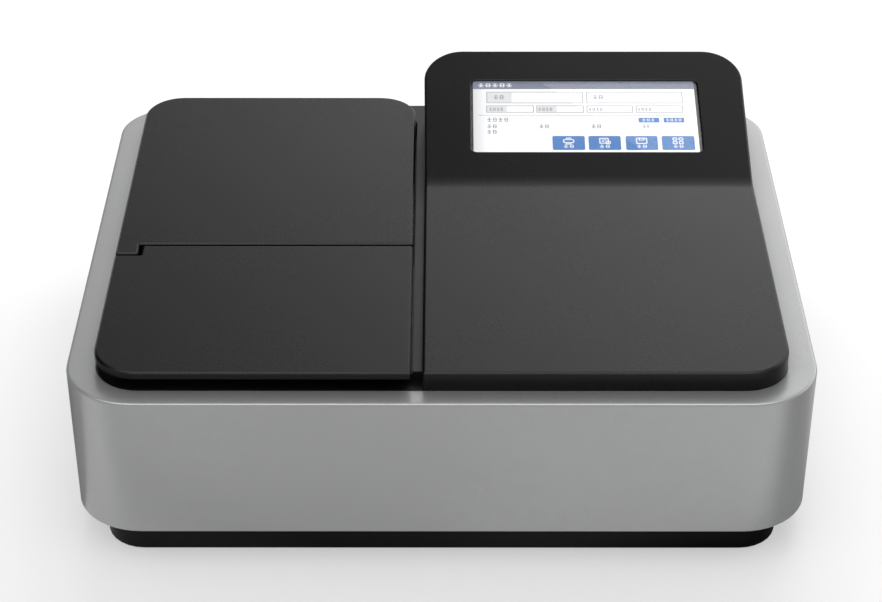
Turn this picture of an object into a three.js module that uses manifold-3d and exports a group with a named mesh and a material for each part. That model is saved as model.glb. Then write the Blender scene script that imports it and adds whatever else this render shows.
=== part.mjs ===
// Bench fluorescence spectrophotometer: silver body on a black plinth, hinged sample lid,
// fixed lamp cover and a moulded console with a raised screen hood.
// Millimetres, +X to the right, +Y to the back, +Z up, origin on the bench under the middle.
import * as THREE from "three";
import { mergeVertices } from "three/addons/utils/BufferGeometryUtils.js";
import Module from "manifold-3d";

const wasm = await Module();
wasm.setup();

// Fits shared by all pieces
const seat = 0.25;
const running = 0.3;
const pinPlay = 0.2;
const overrun = 2;
const weld = 0.0001;
const cornerSteps = 7;
const smallCornerSteps = 3;
const smallCorner = 13;
const edgeSteps = 3;
const dishSteps = 4;
const roundSides = 20;
const smallSides = 14;
const quarter = Math.PI / 2;

// Silver body and black plinth
const bodyWidth = 480;
const bodyDepth = 390;
const bodyHeight = 101;
const bodyFrontRadius = 46;
const bodyRearRadius = 37;
const bodyDraft = 1;
const bodyWall = 3;
const deckEdgeRadius = 1.8;
const deckThickness = 3;
const plinthGap = 0.8;
const plinthHeight = 22.95;
const plinthInset = 11.6;
const plinthSideInset = 19.5;
const plinthRadius = 26;
const plinthWall = 3;
const plinthEdge = 0.8;
const chassisThickness = 2;
const lipWidth = 8;
const lipHeight = 3;

// Rubber feet
const footRadius = 11;
const footHeight = 3.2;
const footTaper = 1;
const footInsetX = 70;
const footInsetY = 62;
const footBossWall = 2;
const footBossRise = 2.2;

// Vent slots in the floor
const ventWidth = 4;
const ventLength = 46;
const ventPitch = 12;
const ventRows = 7;
const ventSetback = 71;

// Covers on the deck
const coverRise = 13.65;
const coverSideMargin = 19;
const coverFrontMargin = 15;
const coverRearMargin = 7;
const coverFrontRadius = 30;
const coverRearRadius = 27.5;
const coverWall = 3;
const coverBevel = 1.4;
const ribDrop = 7;
const ribTail = 14;
const sharpRadius = 1.6;
const channelShare = 1 / 30;
const channelOffset = 0.35;
const channelWidth = 7.3;
const openingInset = 0.5;
const trayThickness = 2.8;
const ledgeWidth = 6;
const ledgeThickness = 3;
const ledgeBack = 3;

// Sample lid, collar and seam
const lidThickness = 5.4;
const seamSetback = 34.4;
const seamGap = 2.4;
const collarRise = 5;
const collarInset = 0.8;
const collarRadius = 20;
const collarWall = 3;
const fingerDepth = 12;
const hingeInset = 5.2;
const troughClear = 7.5;
const tabWidth = 15.3;
const tabReach = 12.5;
const tabGap = 2.4;

// Lid hinge
const hingeLeftInset = 37;
const hingeRightInset = 24.7;
const earWidth = 8;
const earRadius = 3;
const earPost = 4.4;
const earFootLength = 16;
const earFootDepth = 9;
const earFootThickness = 1.2;
const hingePinRadius = 1.5;
const lugWidth = 4;
const lugGap = 0.5;
const lidSkin = 1.2;

// Lid liner, gasket, bumpers and catch
const linerPocket = 2.4;
const linerMargin = 8;
const linerDepth = 5.75;
const linerInset = 3;
const linerPlate = 2.5;
const gasketOffset = 1.5;
const gasketWidth = 4;
const bumperRadius = 4;
const bumperInset = 5;
const bumperLeftInset = 23;
const bumperRightInset = 12.7;
const magnetWidth = 12;
const magnetDepth = 5.4;
const magnetHeight = 3;
const magnetPocket = 1.5;
const catchWidth = 16;
const catchDepth = 7;
const catchThickness = 1;

// Console and screen
const hoodDepth = 130;
const hoodTilt = THREE.MathUtils.degToRad(16.5);
const hoodBlend = 45;
const hoodFlare = 1.3;
const hoodBlendSteps = 6;
const bossRadius = 4.5;
const bossInset = 7;
const bossBore = 1.5;
const screenLeftMargin = 33.5;
const screenRightMargin = 33;
const screenHeight = 73.2;
const screenRise = 31.3;
const screenRadius = 4;
const bezelWidth = 0.8;
const bezelLip = 1;
const glassThickness = 1.6;
const glassMargin = 4;
const panelThickness = 6;
const displayBoardInset = 28.25;
const displayBoardHeight = 56;
const displayChipWidth = 27.5;
const boardThickness = 1.6;
const consoleOpeningMargin = 16;
const lampOpeningMargin = 14;
const openingRadius = 10;

// Optical bench and sample chamber
const beamZ = 78;
const benchThickness = 6;
const benchRise = 8;
const benchMargin = 6;
const legRadius = 6;
const wellOffset = 0.15;
const chamberWidth = 116;
const chamberDepth = 90;
const chamberWall = 3;
const chamberRadius = 4;
const holderSize = 28;
const holderFlange = 44;
const holderFlangeThickness = 5;
const holderTop = 98;
const cuvetteSlot = 12.6;
const cuvetteFloor = 63;
const holderWindowWidth = 8;
const holderWindowHeight = 24;
const portRadius = 8;

// Monochromators, in their own frame: u across, v along the beam away from the chamber
const caseGap = 12;
const caseLeft = 88;
const caseRight = 52;
const caseShare = 0.5;
const caseSetback = 140;
const caseTop = 108;
const caseWall = 3;
const slitWidth = 2;
const slitHeight = 12;
const gratingShare = 0.76;
const foldU = -70;
const foldShare = 0.2;
const foldTurn = Math.PI / 8;
const barrelRadius = 11;
const barrelWall = 3;
const lensThickness = 5;
const lensEdge = 2;
const mirrorWidth = 20;
const mirrorHeight = 24;
const mirrorThickness = 4;
const mirrorPost = 8;

// Grating drive
const gearModule = 0.8;
const rootShare = 1.25;
const pinionTeeth = 16;
const sectorTeeth = 64;
const sectorShown = 9;
const pressureAngle = THREE.MathUtils.degToRad(20);
const backlash = 0.16;
const gearWidth = 4;
const gearZ = 60;
const motorRadius = 14;
const motorHeight = 15.75;
const motorEarWidth = 7;
const motorEarReach = 4;
const motorEarThickness = 1;
const shaftRadius = 1.5;
const shaftOverGear = 1.5;
const pivotBossRadius = 6;
const pivotBossHeight = 15.7;
const spindleRadius = 3;
const spindleLength = 10;
const hubRadius = 7;
const tableRadius = 17;
const tableThickness = 3;
const gratingWidth = 30;
const gratingHeight = 26;
const gratingThickness = 5;

// Beam shutter in front of the excitation slit
const shutterU = 22;
const shutterV = 12;
const solenoidRadius = 8;
const solenoidHeight = 24;
const bladeHubRadius = 3.4;
const bladePinRadius = 1.2;
const bladePinLength = 6;
const bladeThickness = 1.2;
const bladeWidth = 16;
const bladeHeight = 22;
const bladeV = 6;
const bladeArmWidth = 4;

// Lamp and detector
const lampHousingWidth = 48;
const lampHousingDepth = 68;
const lampHousingTop = 110;
const housingWall = 3;
const lampSetback = 32;
const lampBaseRadius = 12;
const lampBaseHeight = 18;
const bulbRadius = 7;
const bulbTop = 98;
const reflectorRadius = 17;
const reflectorDepth = 10;
const reflectorWall = 1.5;
const reflectorBoss = 5;
const coolingSlots = 5;
const coolingSlotWidth = 4;
const tubeHousingLength = 60;
const tubeHousingWidth = 48;
const tubeHousingTop = 112;
const tubeSetback = 30;
const tubeBaseRadius = 16;
const tubeBaseHeight = 20;
const tubeRadius = 14;
const tubeTop = 104;

// Electronics
const mainBoardLeftGap = 18;
const mainBoardRightGap = 24;
const mainBoardFrontGap = 21;
const mainBoardRearGap = 31;
const standoffHeight = 8;
const standoffRadius = 3;
const standoffInset = 6;
const chipHeight = 3;
const supplySideGap = 44;
const supplyRearGap = 42;
const supplyWidth = 92;
const supplyDepth = 78;
const supplyFlange = 2;
const supplySide = 40;
const transformerWidth = 42;
const transformerDepth = 36;
const transformerHeight = 32;
const transformerGap = 8;
const capacitorRadius = 9;
const capacitorHeight = 30;
const finHeight = 34;
const finCount = 6;
const finThickness = 1.6;
const finPitch = 5;

// Rear panel and its fittings
const windowSideInset = 50;
const windowLow = 40;
const windowHigh = 105;
const panelLap = 6;
const panelPlate = 1.5;
const panelMidZ = 72;
const inletInset = 24;
const inletWidth = 31;
const inletHeight = 24;
const inletFlange = 2;
const inletCavityWidth = 24;
const inletCavityHeight = 16.4;
const inletWall = 1.5;
const inletDepth = 17;
const inletCorner = 4;
const bladePitch = 14;
const earthOffset = 4;
const contactWidth = 2;
const contactHeight = 4;
const contactLength = 14;
const contactDrop = 1.5;
const inletToRocker = 32;
const rockerWidth = 10.4;
const rockerHalf = 8;
const rockerFace = 2.6;
const rockerCrown = 4;
const rockerBack = 4;
const rockerBackHalf = 6.5;
const rockerTilt = THREE.MathUtils.degToRad(8);
const rockerPlay = 0.7;
const rockerSetback = 1.25;
const frameWall = 1.2;
const frameBezel = 1.3;
const frameFlange = 1.8;
const frameDepth = 11;
const rockerToPorts = 28;
const usbZ = 86;
const usbWidth = 12;
const usbHeight = 11;
const usbCavityWidth = 8.5;
const usbCavityHeight = 7.8;
const usbDepth = 16;
const usbCavityDepth = 12;
const usbProud = 1.2;
const serialZ = 58;
const serialFlangeWidth = 31;
const serialFlangeHeight = 12.5;
const serialFlangeThickness = 1.2;
const serialFaceWidth = 17;
const serialFaceHeight = 8.4;
const serialSlope = 1.5;
const serialProud = 3.4;
const serialBodyDepth = 9;
const fanInset = 32;
const portsToFan = 54;
const fanSize = 60;
const fanDepth = 15;
const fanBore = 28.6;
const fanHubRadius = 12.5;
const fanBlades = 7;
const fanBladeTip = 27.6;
const fanBladeThickness = 1.6;
const fanBladePitch = THREE.MathUtils.degToRad(40);
const fanRotorDepth = 9.5;
const fanMountThickness = 2.4;
const fanStrutWidth = 3;
const fanStruts = 4;
const fanShaftRadius = 1.5;
const fanShaftLength = 1.8;
const fanHoleRadius = 2.2;
const fanHoleInset = 5;
const grilleRadius = 26;
const grilleSlots = 7;
const grilleSlotHeight = 4;
const grillePitch = 7.2;

// Heights and edges that follow from the sizes above
const plinthTop = plinthGap + plinthHeight;
const bodyBase = plinthTop - seat;
const chassisBottom = plinthTop + seat;
const chassisTop = chassisBottom + chassisThickness;
const deckTop = bodyBase + bodyHeight;
const bodyInside = bodyDraft + bodyWall;
const trayBottom = deckTop - trayThickness;
const ledgeTop = trayBottom - seat;
const coverBase = deckTop + seat;
const coverTop = deckTop + coverRise;
const coverLeft = coverSideMargin - bodyWidth / 2;
const coverRight = bodyWidth / 2 - coverSideMargin;
const coverFront = coverFrontMargin - bodyDepth / 2;
const coverRear = bodyDepth / 2 - coverRearMargin;
const channelX = channelOffset - bodyWidth * channelShare;
const channelLeft = channelX - channelWidth / 2;
const channelRight = channelX + channelWidth / 2;
const collarTop = deckTop + collarRise;
const collarFront = coverFront + fingerDepth;
const chamberX = (coverLeft + channelLeft) / 2 + wellOffset;
const chamberY = collarFront + collarWall + catchDepth + linerMargin + chamberDepth / 2;
const chamberLeft = chamberX - chamberWidth / 2;
const chamberRight = chamberX + chamberWidth / 2;
const chamberFront = chamberY - chamberDepth / 2;
const chamberBack = chamberY + chamberDepth / 2;
const seamY = chamberBack + seamSetback;
const lidRear = seamY - seamGap / 2;
const rearCoverFront = seamY + seamGap / 2;
const lidUnder = coverTop - lidThickness;
const hingeY = lidRear - hingeInset;
const hingeLeftX = coverLeft + hingeLeftInset;
const hingeRightX = channelLeft - hingeRightInset;
const collarRear = hingeY - troughClear;
const collarRoof = collarTop - collarWall;
const benchBottom = chassisTop + benchRise;
const benchTop = benchBottom + benchThickness;
const onBench = benchTop + seat;
const chamberFloor = onBench + chamberWall;
const caseLength = (bodyDepth - caseSetback) * caseShare;
const gratingV = caseLength * gratingShare;
const foldV = caseLength * foldShare;
const sectorRadius = (gearModule * sectorTeeth) / 2;
const pinionRadius = (gearModule * pinionTeeth) / 2;
const motorU = sectorRadius + pinionRadius;
const hubBottom = benchTop + pivotBossHeight + running;
const tableTop = gearZ + gearWidth + overrun + tableThickness;
const wallInside = bodyDepth / 2 - bodyInside;
const panelOut = wallInside - seat;
const panelIn = panelOut - panelPlate;
const onPanel = panelOut + seat;
const windowRight = bodyWidth / 2 - windowSideInset;
const fanX = windowRight - fanInset;
const portX = fanX - portsToFan;
const rockerX = portX - rockerToPorts;
const inletX = rockerX - inletToRocker;
const windowLeft = inletX - inletInset;
const hoodBreakY = coverRear - hoodDepth;
const screenLeft = channelRight + screenLeftMargin;
const screenRight = coverRight - screenRightMargin;
const lampX = chamberX + foldU;
const lampFront = chamberBack + chamberWall + caseGap + caseLength + running;
const lampY = lampFront + lampSetback;
const tubeLeft = chamberRight + chamberWall + caseGap + caseLength + running;
const tubeX = tubeLeft + tubeSetback;
const tubeY = chamberY - foldU;
const benchElbowY = chamberY + caseLeft + benchMargin;
const supplyRight = bodyWidth / 2 - supplySideGap;
const supplyLeft = supplyRight - supplyWidth;
const supplyRear = wallInside - supplyRearGap;
const supplyFront = supplyRear - supplyDepth;
const boardLeft = chamberX + caseRight + mainBoardLeftGap;
const boardRight = supplyLeft - mainBoardRightGap;
const boardFront = benchElbowY + mainBoardFrontGap;
const boardRear = wallInside - mainBoardRearGap;

// Finishes
const paint = (color, roughness, metalness) =>
  new THREE.MeshStandardMaterial({ color, roughness, metalness });
const silverPaint = paint(0xa2a3a4, 0.42, 0.35);
const blackPlastic = paint(0x1d1d1e, 0.55, 0);
const coverPlastic = paint(0x37373a, 0.5, 0);
const darkGlass = paint(0x20242a, 0.08, 0);
const steel = paint(0xb4b6b8, 0.35, 0.9);
const blackAnodised = paint(0x26272a, 0.45, 0.6);
const castAluminium = paint(0x8d9092, 0.5, 0.8);
const rubber = paint(0x151515, 0.85, 0);
const clearGlass = paint(0xdfe8ee, 0.05, 0);
const mirrorCoat = paint(0xe6e8ea, 0.05, 1);
const brass = paint(0xb89a55, 0.35, 0.9);
const circuitGreen = paint(0x1d5a38, 0.55, 0);
const nickel = paint(0xc9cacb, 0.3, 0.9);

const instrument = new THREE.Group();

// Puts a named piece into a group.
function place(name, piece, material, group = instrument) {
  const { vertProperties, triVerts } = piece.getMesh();
  const indexed = new THREE.BufferGeometry();
  indexed.setAttribute("position", new THREE.BufferAttribute(vertProperties, 3));
  indexed.setIndex(new THREE.BufferAttribute(triVerts, 1));
  const geometry = indexed.toNonIndexed();
  geometry.computeVertexNormals();
  const mesh = new THREE.Mesh(geometry, material);
  mesh.name = name;
  group.add(mesh);
}

// A closed geometry as a solid that can be cut and joined, with its faces pointing out.
function solid(geometry) {
  const bare = geometry.clone();
  bare.deleteAttribute("normal");
  bare.deleteAttribute("uv");
  const merged = mergeVertices(bare, weld);
  const vertProperties = new Float32Array(merged.attributes.position.array);
  const triVerts = new Uint32Array(merged.index.array);
  const make = () => new wasm.Manifold(new wasm.Mesh({ numProp: 3, vertProperties, triVerts }));
  const made = make();
  if (made.volume() > 0) return made;
  for (let i = 0; i < triVerts.length; i += 3) {
    [triVerts[i], triVerts[i + 1]] = [triVerts[i + 1], triVerts[i]];
  }
  return make();
}

const join = (...pieces) => pieces.flat().reduce((a, b) => a.add(b));
const cut = (piece, ...tools) => tools.flat().reduce((a, b) => a.subtract(b), piece);

// A block from its low to its high corner.
function block(x0, x1, y0, y1, z0, z1, matrix) {
  const geometry = new THREE.BoxGeometry(x1 - x0, y1 - y0, z1 - z0);
  geometry.translate((x0 + x1) / 2, (y0 + y1) / 2, (z0 + z1) / 2);
  if (matrix) geometry.applyMatrix4(matrix);
  return solid(geometry);
}

// A block given by its middle, its width and depth, and its two heights.
const slab = (x, y, width, depth, z0, z1) =>
  block(x - width / 2, x + width / 2, y - depth / 2, y + depth / 2, z0, z1);

// A round bar along Z.
function bar(x, y, radius, z0, z1, sides = roundSides) {
  const geometry = new THREE.CylinderGeometry(radius, radius, z1 - z0, sides);
  geometry.rotateX(quarter).translate(x, y, (z0 + z1) / 2);
  return solid(geometry);
}

// A round bar along X.
function barX(x0, x1, y, z, radius, sides = roundSides) {
  const geometry = new THREE.CylinderGeometry(radius, radius, x1 - x0, sides);
  geometry.rotateZ(quarter).translate((x0 + x1) / 2, y, z);
  return solid(geometry);
}

// A round bar along Y.
function barY(x, y0, y1, z, radius, sides = roundSides) {
  const geometry = new THREE.CylinderGeometry(radius, radius, y1 - y0, sides);
  geometry.translate(x, (y0 + y1) / 2, z);
  return solid(geometry);
}

// A flat outline raised from z0 to z1.
function prism(outline, z0, z1) {
  const shape = new THREE.Shape(outline.map(([x, y]) => new THREE.Vector2(x, y)));
  const geometry = new THREE.ExtrudeGeometry(shape, { depth: z1 - z0, bevelEnabled: false });
  return solid(geometry.translate(0, 0, z0));
}

// A profile of radius and height turned about the Z axis through x, y.
function turned(profile, x = 0, y = 0, sides = roundSides) {
  const points = profile.map(([radius, z]) => new THREE.Vector2(radius, z));
  const geometry = new THREE.LatheGeometry(points, sides);
  return solid(geometry.rotateX(quarter).translate(x, y, 0));
}

// Corner radii of a rounded rectangle, all alike or front and rear.
function rounded(left, right, front, rear, frontRadius, rearRadius = frontRadius) {
  return {
    left,
    right,
    front,
    rear,
    frontLeft: frontRadius,
    frontRight: frontRadius,
    rearLeft: rearRadius,
    rearRight: rearRadius,
  };
}

// Points round the rectangle: down the left side, across the front and up the right side.
function loop(outline, inset, stations = []) {
  const { left, right, front, rear, frontLeft, frontRight, rearLeft, rearRight } = outline;
  const largest = Math.max(frontLeft, frontRight, rearLeft, rearRight);
  const steps = largest > smallCorner ? cornerSteps : smallCornerSteps;
  const points = [];
  const corner = (sideX, sideY, signX, signY, radius, start) => {
    const r = Math.max(radius - inset, sharpRadius / cornerSteps);
    for (let i = 0; i <= steps; i += 1) {
      const angle = start + (quarter * i) / steps;
      const x = sideX - signX * (inset + r) + r * Math.cos(angle);
      points.push([x, sideY - signY * (inset + r) + r * Math.sin(angle)]);
    }
  };
  corner(left, rear, -1, 1, rearLeft, quarter);
  [...stations].reverse().forEach((y) => points.push([left + inset, y]));
  corner(left, front, -1, -1, frontLeft, 2 * quarter);
  corner(right, front, 1, -1, frontRight, 3 * quarter);
  stations.forEach((y) => points.push([right - inset, y]));
  corner(right, rear, 1, 1, rearRight, 0);
  return points;
}

// Rings of the outline at each level, skinned together and capped across from side to side.
function form(outline, levels, { stations = [], matrix } = {}) {
  const rings = levels.map(({ inset, z }) =>
    loop(outline, inset, stations).map(([x, y]) => [x, y, typeof z === "function" ? z(y) : z]),
  );
  const count = rings[0].length;
  const last = (rings.length - 1) * count;
  const index = [];
  for (let k = 0; k < last; k += count) {
    for (let i = 0; i < count; i += 1) {
      const j = (i + 1) % count;
      index.push(k + i, k + j, k + count + j, k + i, k + count + j, k + count + i);
    }
  }
  for (let i = 0; i < count / 2 - 1; i += 1) {
    const [j, p, q] = [i + 1, count - 2 - i, count - 1 - i];
    index.push(last + i, last + j, last + p, last + i, last + p, last + q);
    index.push(j, i, p, p, i, q);
  }
  const geometry = new THREE.BufferGeometry();
  const positions = new Float32Array(rings.flat(2));
  geometry.setAttribute("position", new THREE.BufferAttribute(positions, 3));
  geometry.setIndex(index);
  if (matrix) geometry.applyMatrix4(matrix);
  return solid(geometry);
}

// A straight-sided form between two heights.
const column = (outline, inset, z0, z1, options) =>
  form(outline, [{ inset, z: z0 }, { inset, z: z1 }], options);

// Levels of a quarter-round edge below a top face.
function roundEdge(radius, z, steps = edgeSteps) {
  const levels = [];
  for (let i = 0; i <= steps; i += 1) {
    const angle = (quarter * i) / steps;
    levels.push({ inset: radius * (1 - Math.cos(angle)), z: z - radius * (1 - Math.sin(angle)) });
  }
  return levels;
}

const bodyOutline = rounded(
  -bodyWidth / 2,
  bodyWidth / 2,
  -bodyDepth / 2,
  bodyDepth / 2,
  bodyFrontRadius,
  bodyRearRadius,
);
const coverOutline = rounded(
  coverLeft,
  coverRight,
  coverFront,
  coverRear,
  coverFrontRadius,
  coverRearRadius,
);
const mouthOutline = rounded(
  chamberLeft,
  chamberRight,
  chamberFront,
  chamberBack,
  chamberRadius,
);

// Silver body: drafted walls, rounded deck edge, a ledge for the tray and a lip on the chassis.
function bodyShell() {
  const outer = form(bodyOutline, [
    { inset: bodyDraft, z: bodyBase },
    ...roundEdge(deckEdgeRadius, deckTop),
  ]);
  const lipLow = chassisTop + seat;
  const lipHigh = lipLow + lipHeight;
  const ledgeLow = ledgeTop - ledgeThickness;
  const upper = column(bodyOutline, bodyInside, lipHigh, deckTop - deckThickness);
  const ledge = column(coverOutline, openingInset - ledgeBack, ledgeLow, deckTop);
  const lower = column(bodyOutline, bodyInside, bodyBase - overrun, lipLow);
  const middle = column(bodyOutline, bodyInside + lipWidth, bodyBase, ledgeLow);
  const trayHole = column(coverOutline, openingInset, ledgeTop, deckTop + overrun);
  const deckHole = column(coverOutline, openingInset + ledgeWidth, ledgeLow - overrun, deckTop);
  const rearWindow = block(
    windowLeft,
    windowRight,
    wallInside - overrun,
    bodyDepth / 2 + overrun,
    windowLow,
    windowHigh,
  );
  const hollow = cut(upper, ledge);
  return cut(outer, hollow, lower, middle, trayHole, deckHole, rearWindow);
}

const plinthOutline = rounded(
  plinthSideInset - bodyWidth / 2,
  bodyWidth / 2 - plinthSideInset,
  plinthInset - bodyDepth / 2,
  bodyDepth / 2 - plinthInset,
  plinthRadius,
);
const footPlaces = [-1, 1].flatMap((sideX) =>
  [-1, 1].map((sideY) => ({
    x: sideX * (bodyWidth / 2 - footInsetX),
    y: sideY * (bodyDepth / 2 - footInsetY),
    name: `foot_${sideY < 0 ? "front" : "rear"}_${sideX < 0 ? "left" : "right"}`,
  })),
);

// A row of vent slots through a floor, side by side under the power supply.
function ventSlots(z0, z1) {
  const first = (supplyLeft + supplyRight - (ventRows - 1) * ventPitch) / 2;
  const y = bodyDepth / 2 - footInsetY - ventSetback;
  return Array.from({ length: ventRows }, (_, i) =>
    slab(first + i * ventPitch, y, ventWidth, ventLength, z0, z1),
  );
}

// Black plinth: a tray with a rounded lower edge, foot sockets and vent slots.
function baseTray() {
  const floorTop = plinthGap + plinthWall;
  const outer = form(plinthOutline, [
    { inset: plinthEdge, z: plinthGap },
    { inset: 0, z: plinthGap + plinthEdge },
    { inset: 0, z: plinthTop },
  ]);
  const inner = column(plinthOutline, plinthWall, floorTop, plinthTop + overrun);
  const bossRadiusOut = footRadius + running + footBossWall;
  const bosses = footPlaces.map(({ x, y }) =>
    bar(x, y, bossRadiusOut, plinthGap, floorTop + footBossRise),
  );
  const sockets = footPlaces.map(({ x, y }) =>
    bar(x, y, footRadius + running, plinthGap - overrun, footHeight + seat),
  );
  const vents = ventSlots(plinthGap - overrun, floorTop + overrun);
  const vented = cut(outer, inner);
  return cut(join(vented, bosses), sockets, vents);
}

function foot({ x, y }) {
  return turned(
    [
      [0, 0],
      [footRadius - footTaper, 0],
      [footRadius, footTaper],
      [footRadius, footHeight],
      [0, footHeight],
    ],
    x,
    y,
  );
}

const standoffPlaces = [-1, 1].flatMap((sideX) =>
  [-1, 1].map((sideY) => [
    sideX < 0 ? boardLeft + standoffInset : boardRight - standoffInset,
    sideY < 0 ? boardFront + standoffInset : boardRear - standoffInset,
  ]),
);

// Steel plate that everything inside stands on, with pressed posts for the main board.
function chassisPlate() {
  const plate = column(bodyOutline, bodyInside + running, chassisBottom, chassisTop);
  const posts = standoffPlaces.map(([x, y]) =>
    bar(x, y, standoffRadius, chassisBottom, chassisTop + standoffHeight, smallSides),
  );
  const vents = ventSlots(chassisBottom - overrun, chassisTop + overrun);
  return cut(join(plate, posts), vents);
}

const collarOutline = {
  ...rounded(
    coverLeft + collarInset,
    channelRight - running,
    collarFront,
    collarRear,
    sharpRadius,
  ),
  frontLeft: collarRadius,
};

const lampCoverOutline = rounded(
  coverLeft,
  channelLeft,
  rearCoverFront,
  coverRear,
  sharpRadius,
  coverRearRadius,
);

// Black tray in the deck: hollow collar round the sample well, finger ledge and channel rib.
function topTray() {
  const inset = openingInset + running;
  const plate = column(coverOutline, inset, trayBottom, deckTop);
  const collar = column(collarOutline, 0, trayBottom, collarTop);
  const ribLeft = channelLeft + (channelWidth - running) / cornerSteps;
  const ribRight = channelRight - running;
  const ribRear = coverRear - inset;
  const ribTop = coverTop - ribDrop;
  const tailFront = coverRear - coverRearRadius;
  const rib = block(ribLeft, ribRight, collarFront - running, ribRear, trayBottom, ribTop);
  const tail = block(channelLeft - ribTail, ribRight, tailFront, ribRear, trayBottom, ribTop);
  const lampCover = column(lampCoverOutline, -running, trayBottom - overrun, coverTop);
  const pocket = column(collarOutline, collarWall, trayBottom - overrun, collarRoof);
  const mouth = column(mouthOutline, 0, trayBottom, collarTop + overrun);
  const low = trayBottom - overrun;
  const high = deckTop + overrun;
  const consoleHole = column(
    rounded(
      channelRight + consoleOpeningMargin,
      coverRight - consoleOpeningMargin,
      coverFront + 2 * consoleOpeningMargin,
      coverRear - consoleOpeningMargin,
      openingRadius,
    ),
    0,
    low,
    high,
  );
  const lampHole = column(
    rounded(
      coverLeft + lampOpeningMargin,
      channelLeft - lampOpeningMargin,
      rearCoverFront + lampOpeningMargin,
      coverRear - lampOpeningMargin,
      openingRadius,
    ),
    0,
    low,
    high,
  );
  return cut(join(plate, collar, rib, cut(tail, lampCover)), pocket, mouth, consoleHole, lampHole);
}

// Levels of a cover wall with a bevelled top edge.
const bevelled = (z0, z1) => [
  { inset: 0, z: z0 },
  { inset: 0, z: z1 - coverBevel },
  { inset: coverBevel, z: z1 },
];

// Fixed lamp cover behind the lid, with the tab that runs forward beside the hinge.
function rearCover() {
  const tabFront = rearCoverFront - tabReach;
  const tabRear = rearCoverFront + tabReach;
  const tab = rounded(coverLeft, coverLeft + tabWidth, tabFront, tabRear, sharpRadius);
  const levels = bevelled(coverBase, coverTop);
  const outer = join(form(lampCoverOutline, levels), form(tab, levels));
  const inner = join(
    column(lampCoverOutline, coverWall, coverBase - overrun, coverTop - coverWall),
    column(tab, coverWall, coverBase - overrun, coverTop - coverWall),
  );
  return cut(outer, inner);
}

// Height of the console's top face at y, lowered square to the face by the drop.
function consoleHeight(y, drop = 0) {
  const z0 = coverTop - drop;
  const corner = hoodBreakY + drop * Math.tan(hoodTilt / 2);
  const radius = hoodBlend + drop;
  const reach = radius * Math.tan(hoodTilt / 2);
  if (y <= corner - reach) return z0;
  if (y >= corner + reach * Math.cos(hoodTilt)) return z0 + (y - corner) * Math.tan(hoodTilt);
  const along = y - (corner - reach);
  return z0 + radius - Math.sqrt(radius * radius - along * along);
}

// Where the blend between slab and hood needs a row of points.
function blendStations(drop) {
  const corner = hoodBreakY + drop * Math.tan(hoodTilt / 2);
  const reach = (hoodBlend + drop) * Math.tan(hoodTilt / 2);
  const span = reach * (1 + Math.cos(hoodTilt));
  return Array.from(
    { length: hoodBlendSteps + 1 },
    (_, i) => corner - reach + (span * i) / hoodBlendSteps,
  );
}

const hoodFrame = new THREE.Matrix4()
  .makeRotationX(hoodTilt)
  .setPosition(0, hoodBreakY, coverTop);
const screenOutline = rounded(
  screenLeft,
  screenRight,
  screenRise,
  screenRise + screenHeight,
  screenRadius,
);

// Console: flat slab that sweeps up into the screen hood, one moulded shell.
// Leans the walls of the raised hood outwards in proportion to their height.
function flared(hood) {
  const middle = (channelRight + coverRight) / 2;
  const straightX = (coverRight - channelRight) / 2 - coverRearRadius;
  const straightY = coverRear - coverRearRadius;
  const rise = consoleHeight(coverRear) - coverTop;
  return hood.warp((point) => {
    const lean = (hoodFlare * Math.max(point[2] - coverTop, 0)) / rise;
    const aside = Math.max(Math.abs(point[0] - middle) - straightX, 0) / coverRearRadius;
    const back = Math.max(point[1] - straightY, 0) / coverRearRadius;
    point[0] += Math.sign(point[0] - middle) * lean * aside;
    point[1] += lean * back;
    point[2] += lean * back * Math.tan(hoodTilt);
  });
}

function consoleCover() {
  const outline = {
    ...rounded(channelRight, coverRight, coverFront, coverRear, coverFrontRadius, coverRearRadius),
    frontLeft: sharpRadius,
  };
  const outer = form(
    outline,
    [
      { inset: 0, z: coverBase },
      { inset: 0, z: (y) => consoleHeight(y) - coverBevel },
      { inset: coverBevel, z: (y) => consoleHeight(y) },
    ],
    { stations: blendStations(0) },
  );
  const inner = form(
    outline,
    [
      { inset: coverWall, z: coverBase - overrun },
      { inset: coverWall, z: (y) => consoleHeight(y, coverWall) },
    ],
    { stations: blendStations(coverWall) },
  );
  const low = coverWall + overrun;
  const window = form(
    screenOutline,
    [
      { inset: 0, z: -low },
      { inset: 0, z: -bezelWidth },
      { inset: -bezelWidth - overrun, z: overrun },
    ],
    { matrix: hoodFrame },
  );
  const rebate = column(screenOutline, -glassMargin - running, -low, -bezelLip, { matrix: hoodFrame });
  const bossY = [coverFront + coverFrontRadius, coverRear - coverRearRadius];
  const bossX = [channelRight + bossInset, coverRight - bossInset];
  const bossPlaces = bossX.flatMap((x) => bossY.map((y) => [x, y]));
  const bosses = bossPlaces.map(([x, y]) =>
    bar(x, y, bossRadius, coverBase, consoleHeight(y - bossRadius, coverWall / 2), smallSides),
  );
  const bores = bossPlaces.map(([x, y]) =>
    bar(x, y, bossBore, coverBase - overrun, coverBase + coverRise / 2, smallSides),
  );
  return cut(join(cut(flared(outer), inner, window, rebate), bosses), bores);
}

// A plate of the display, lying under the hood at a given depth.
function displayPlate(outline, inset, top, thickness) {
  return column(outline, inset, -top - thickness, -top, { matrix: hoodFrame });
}

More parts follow.
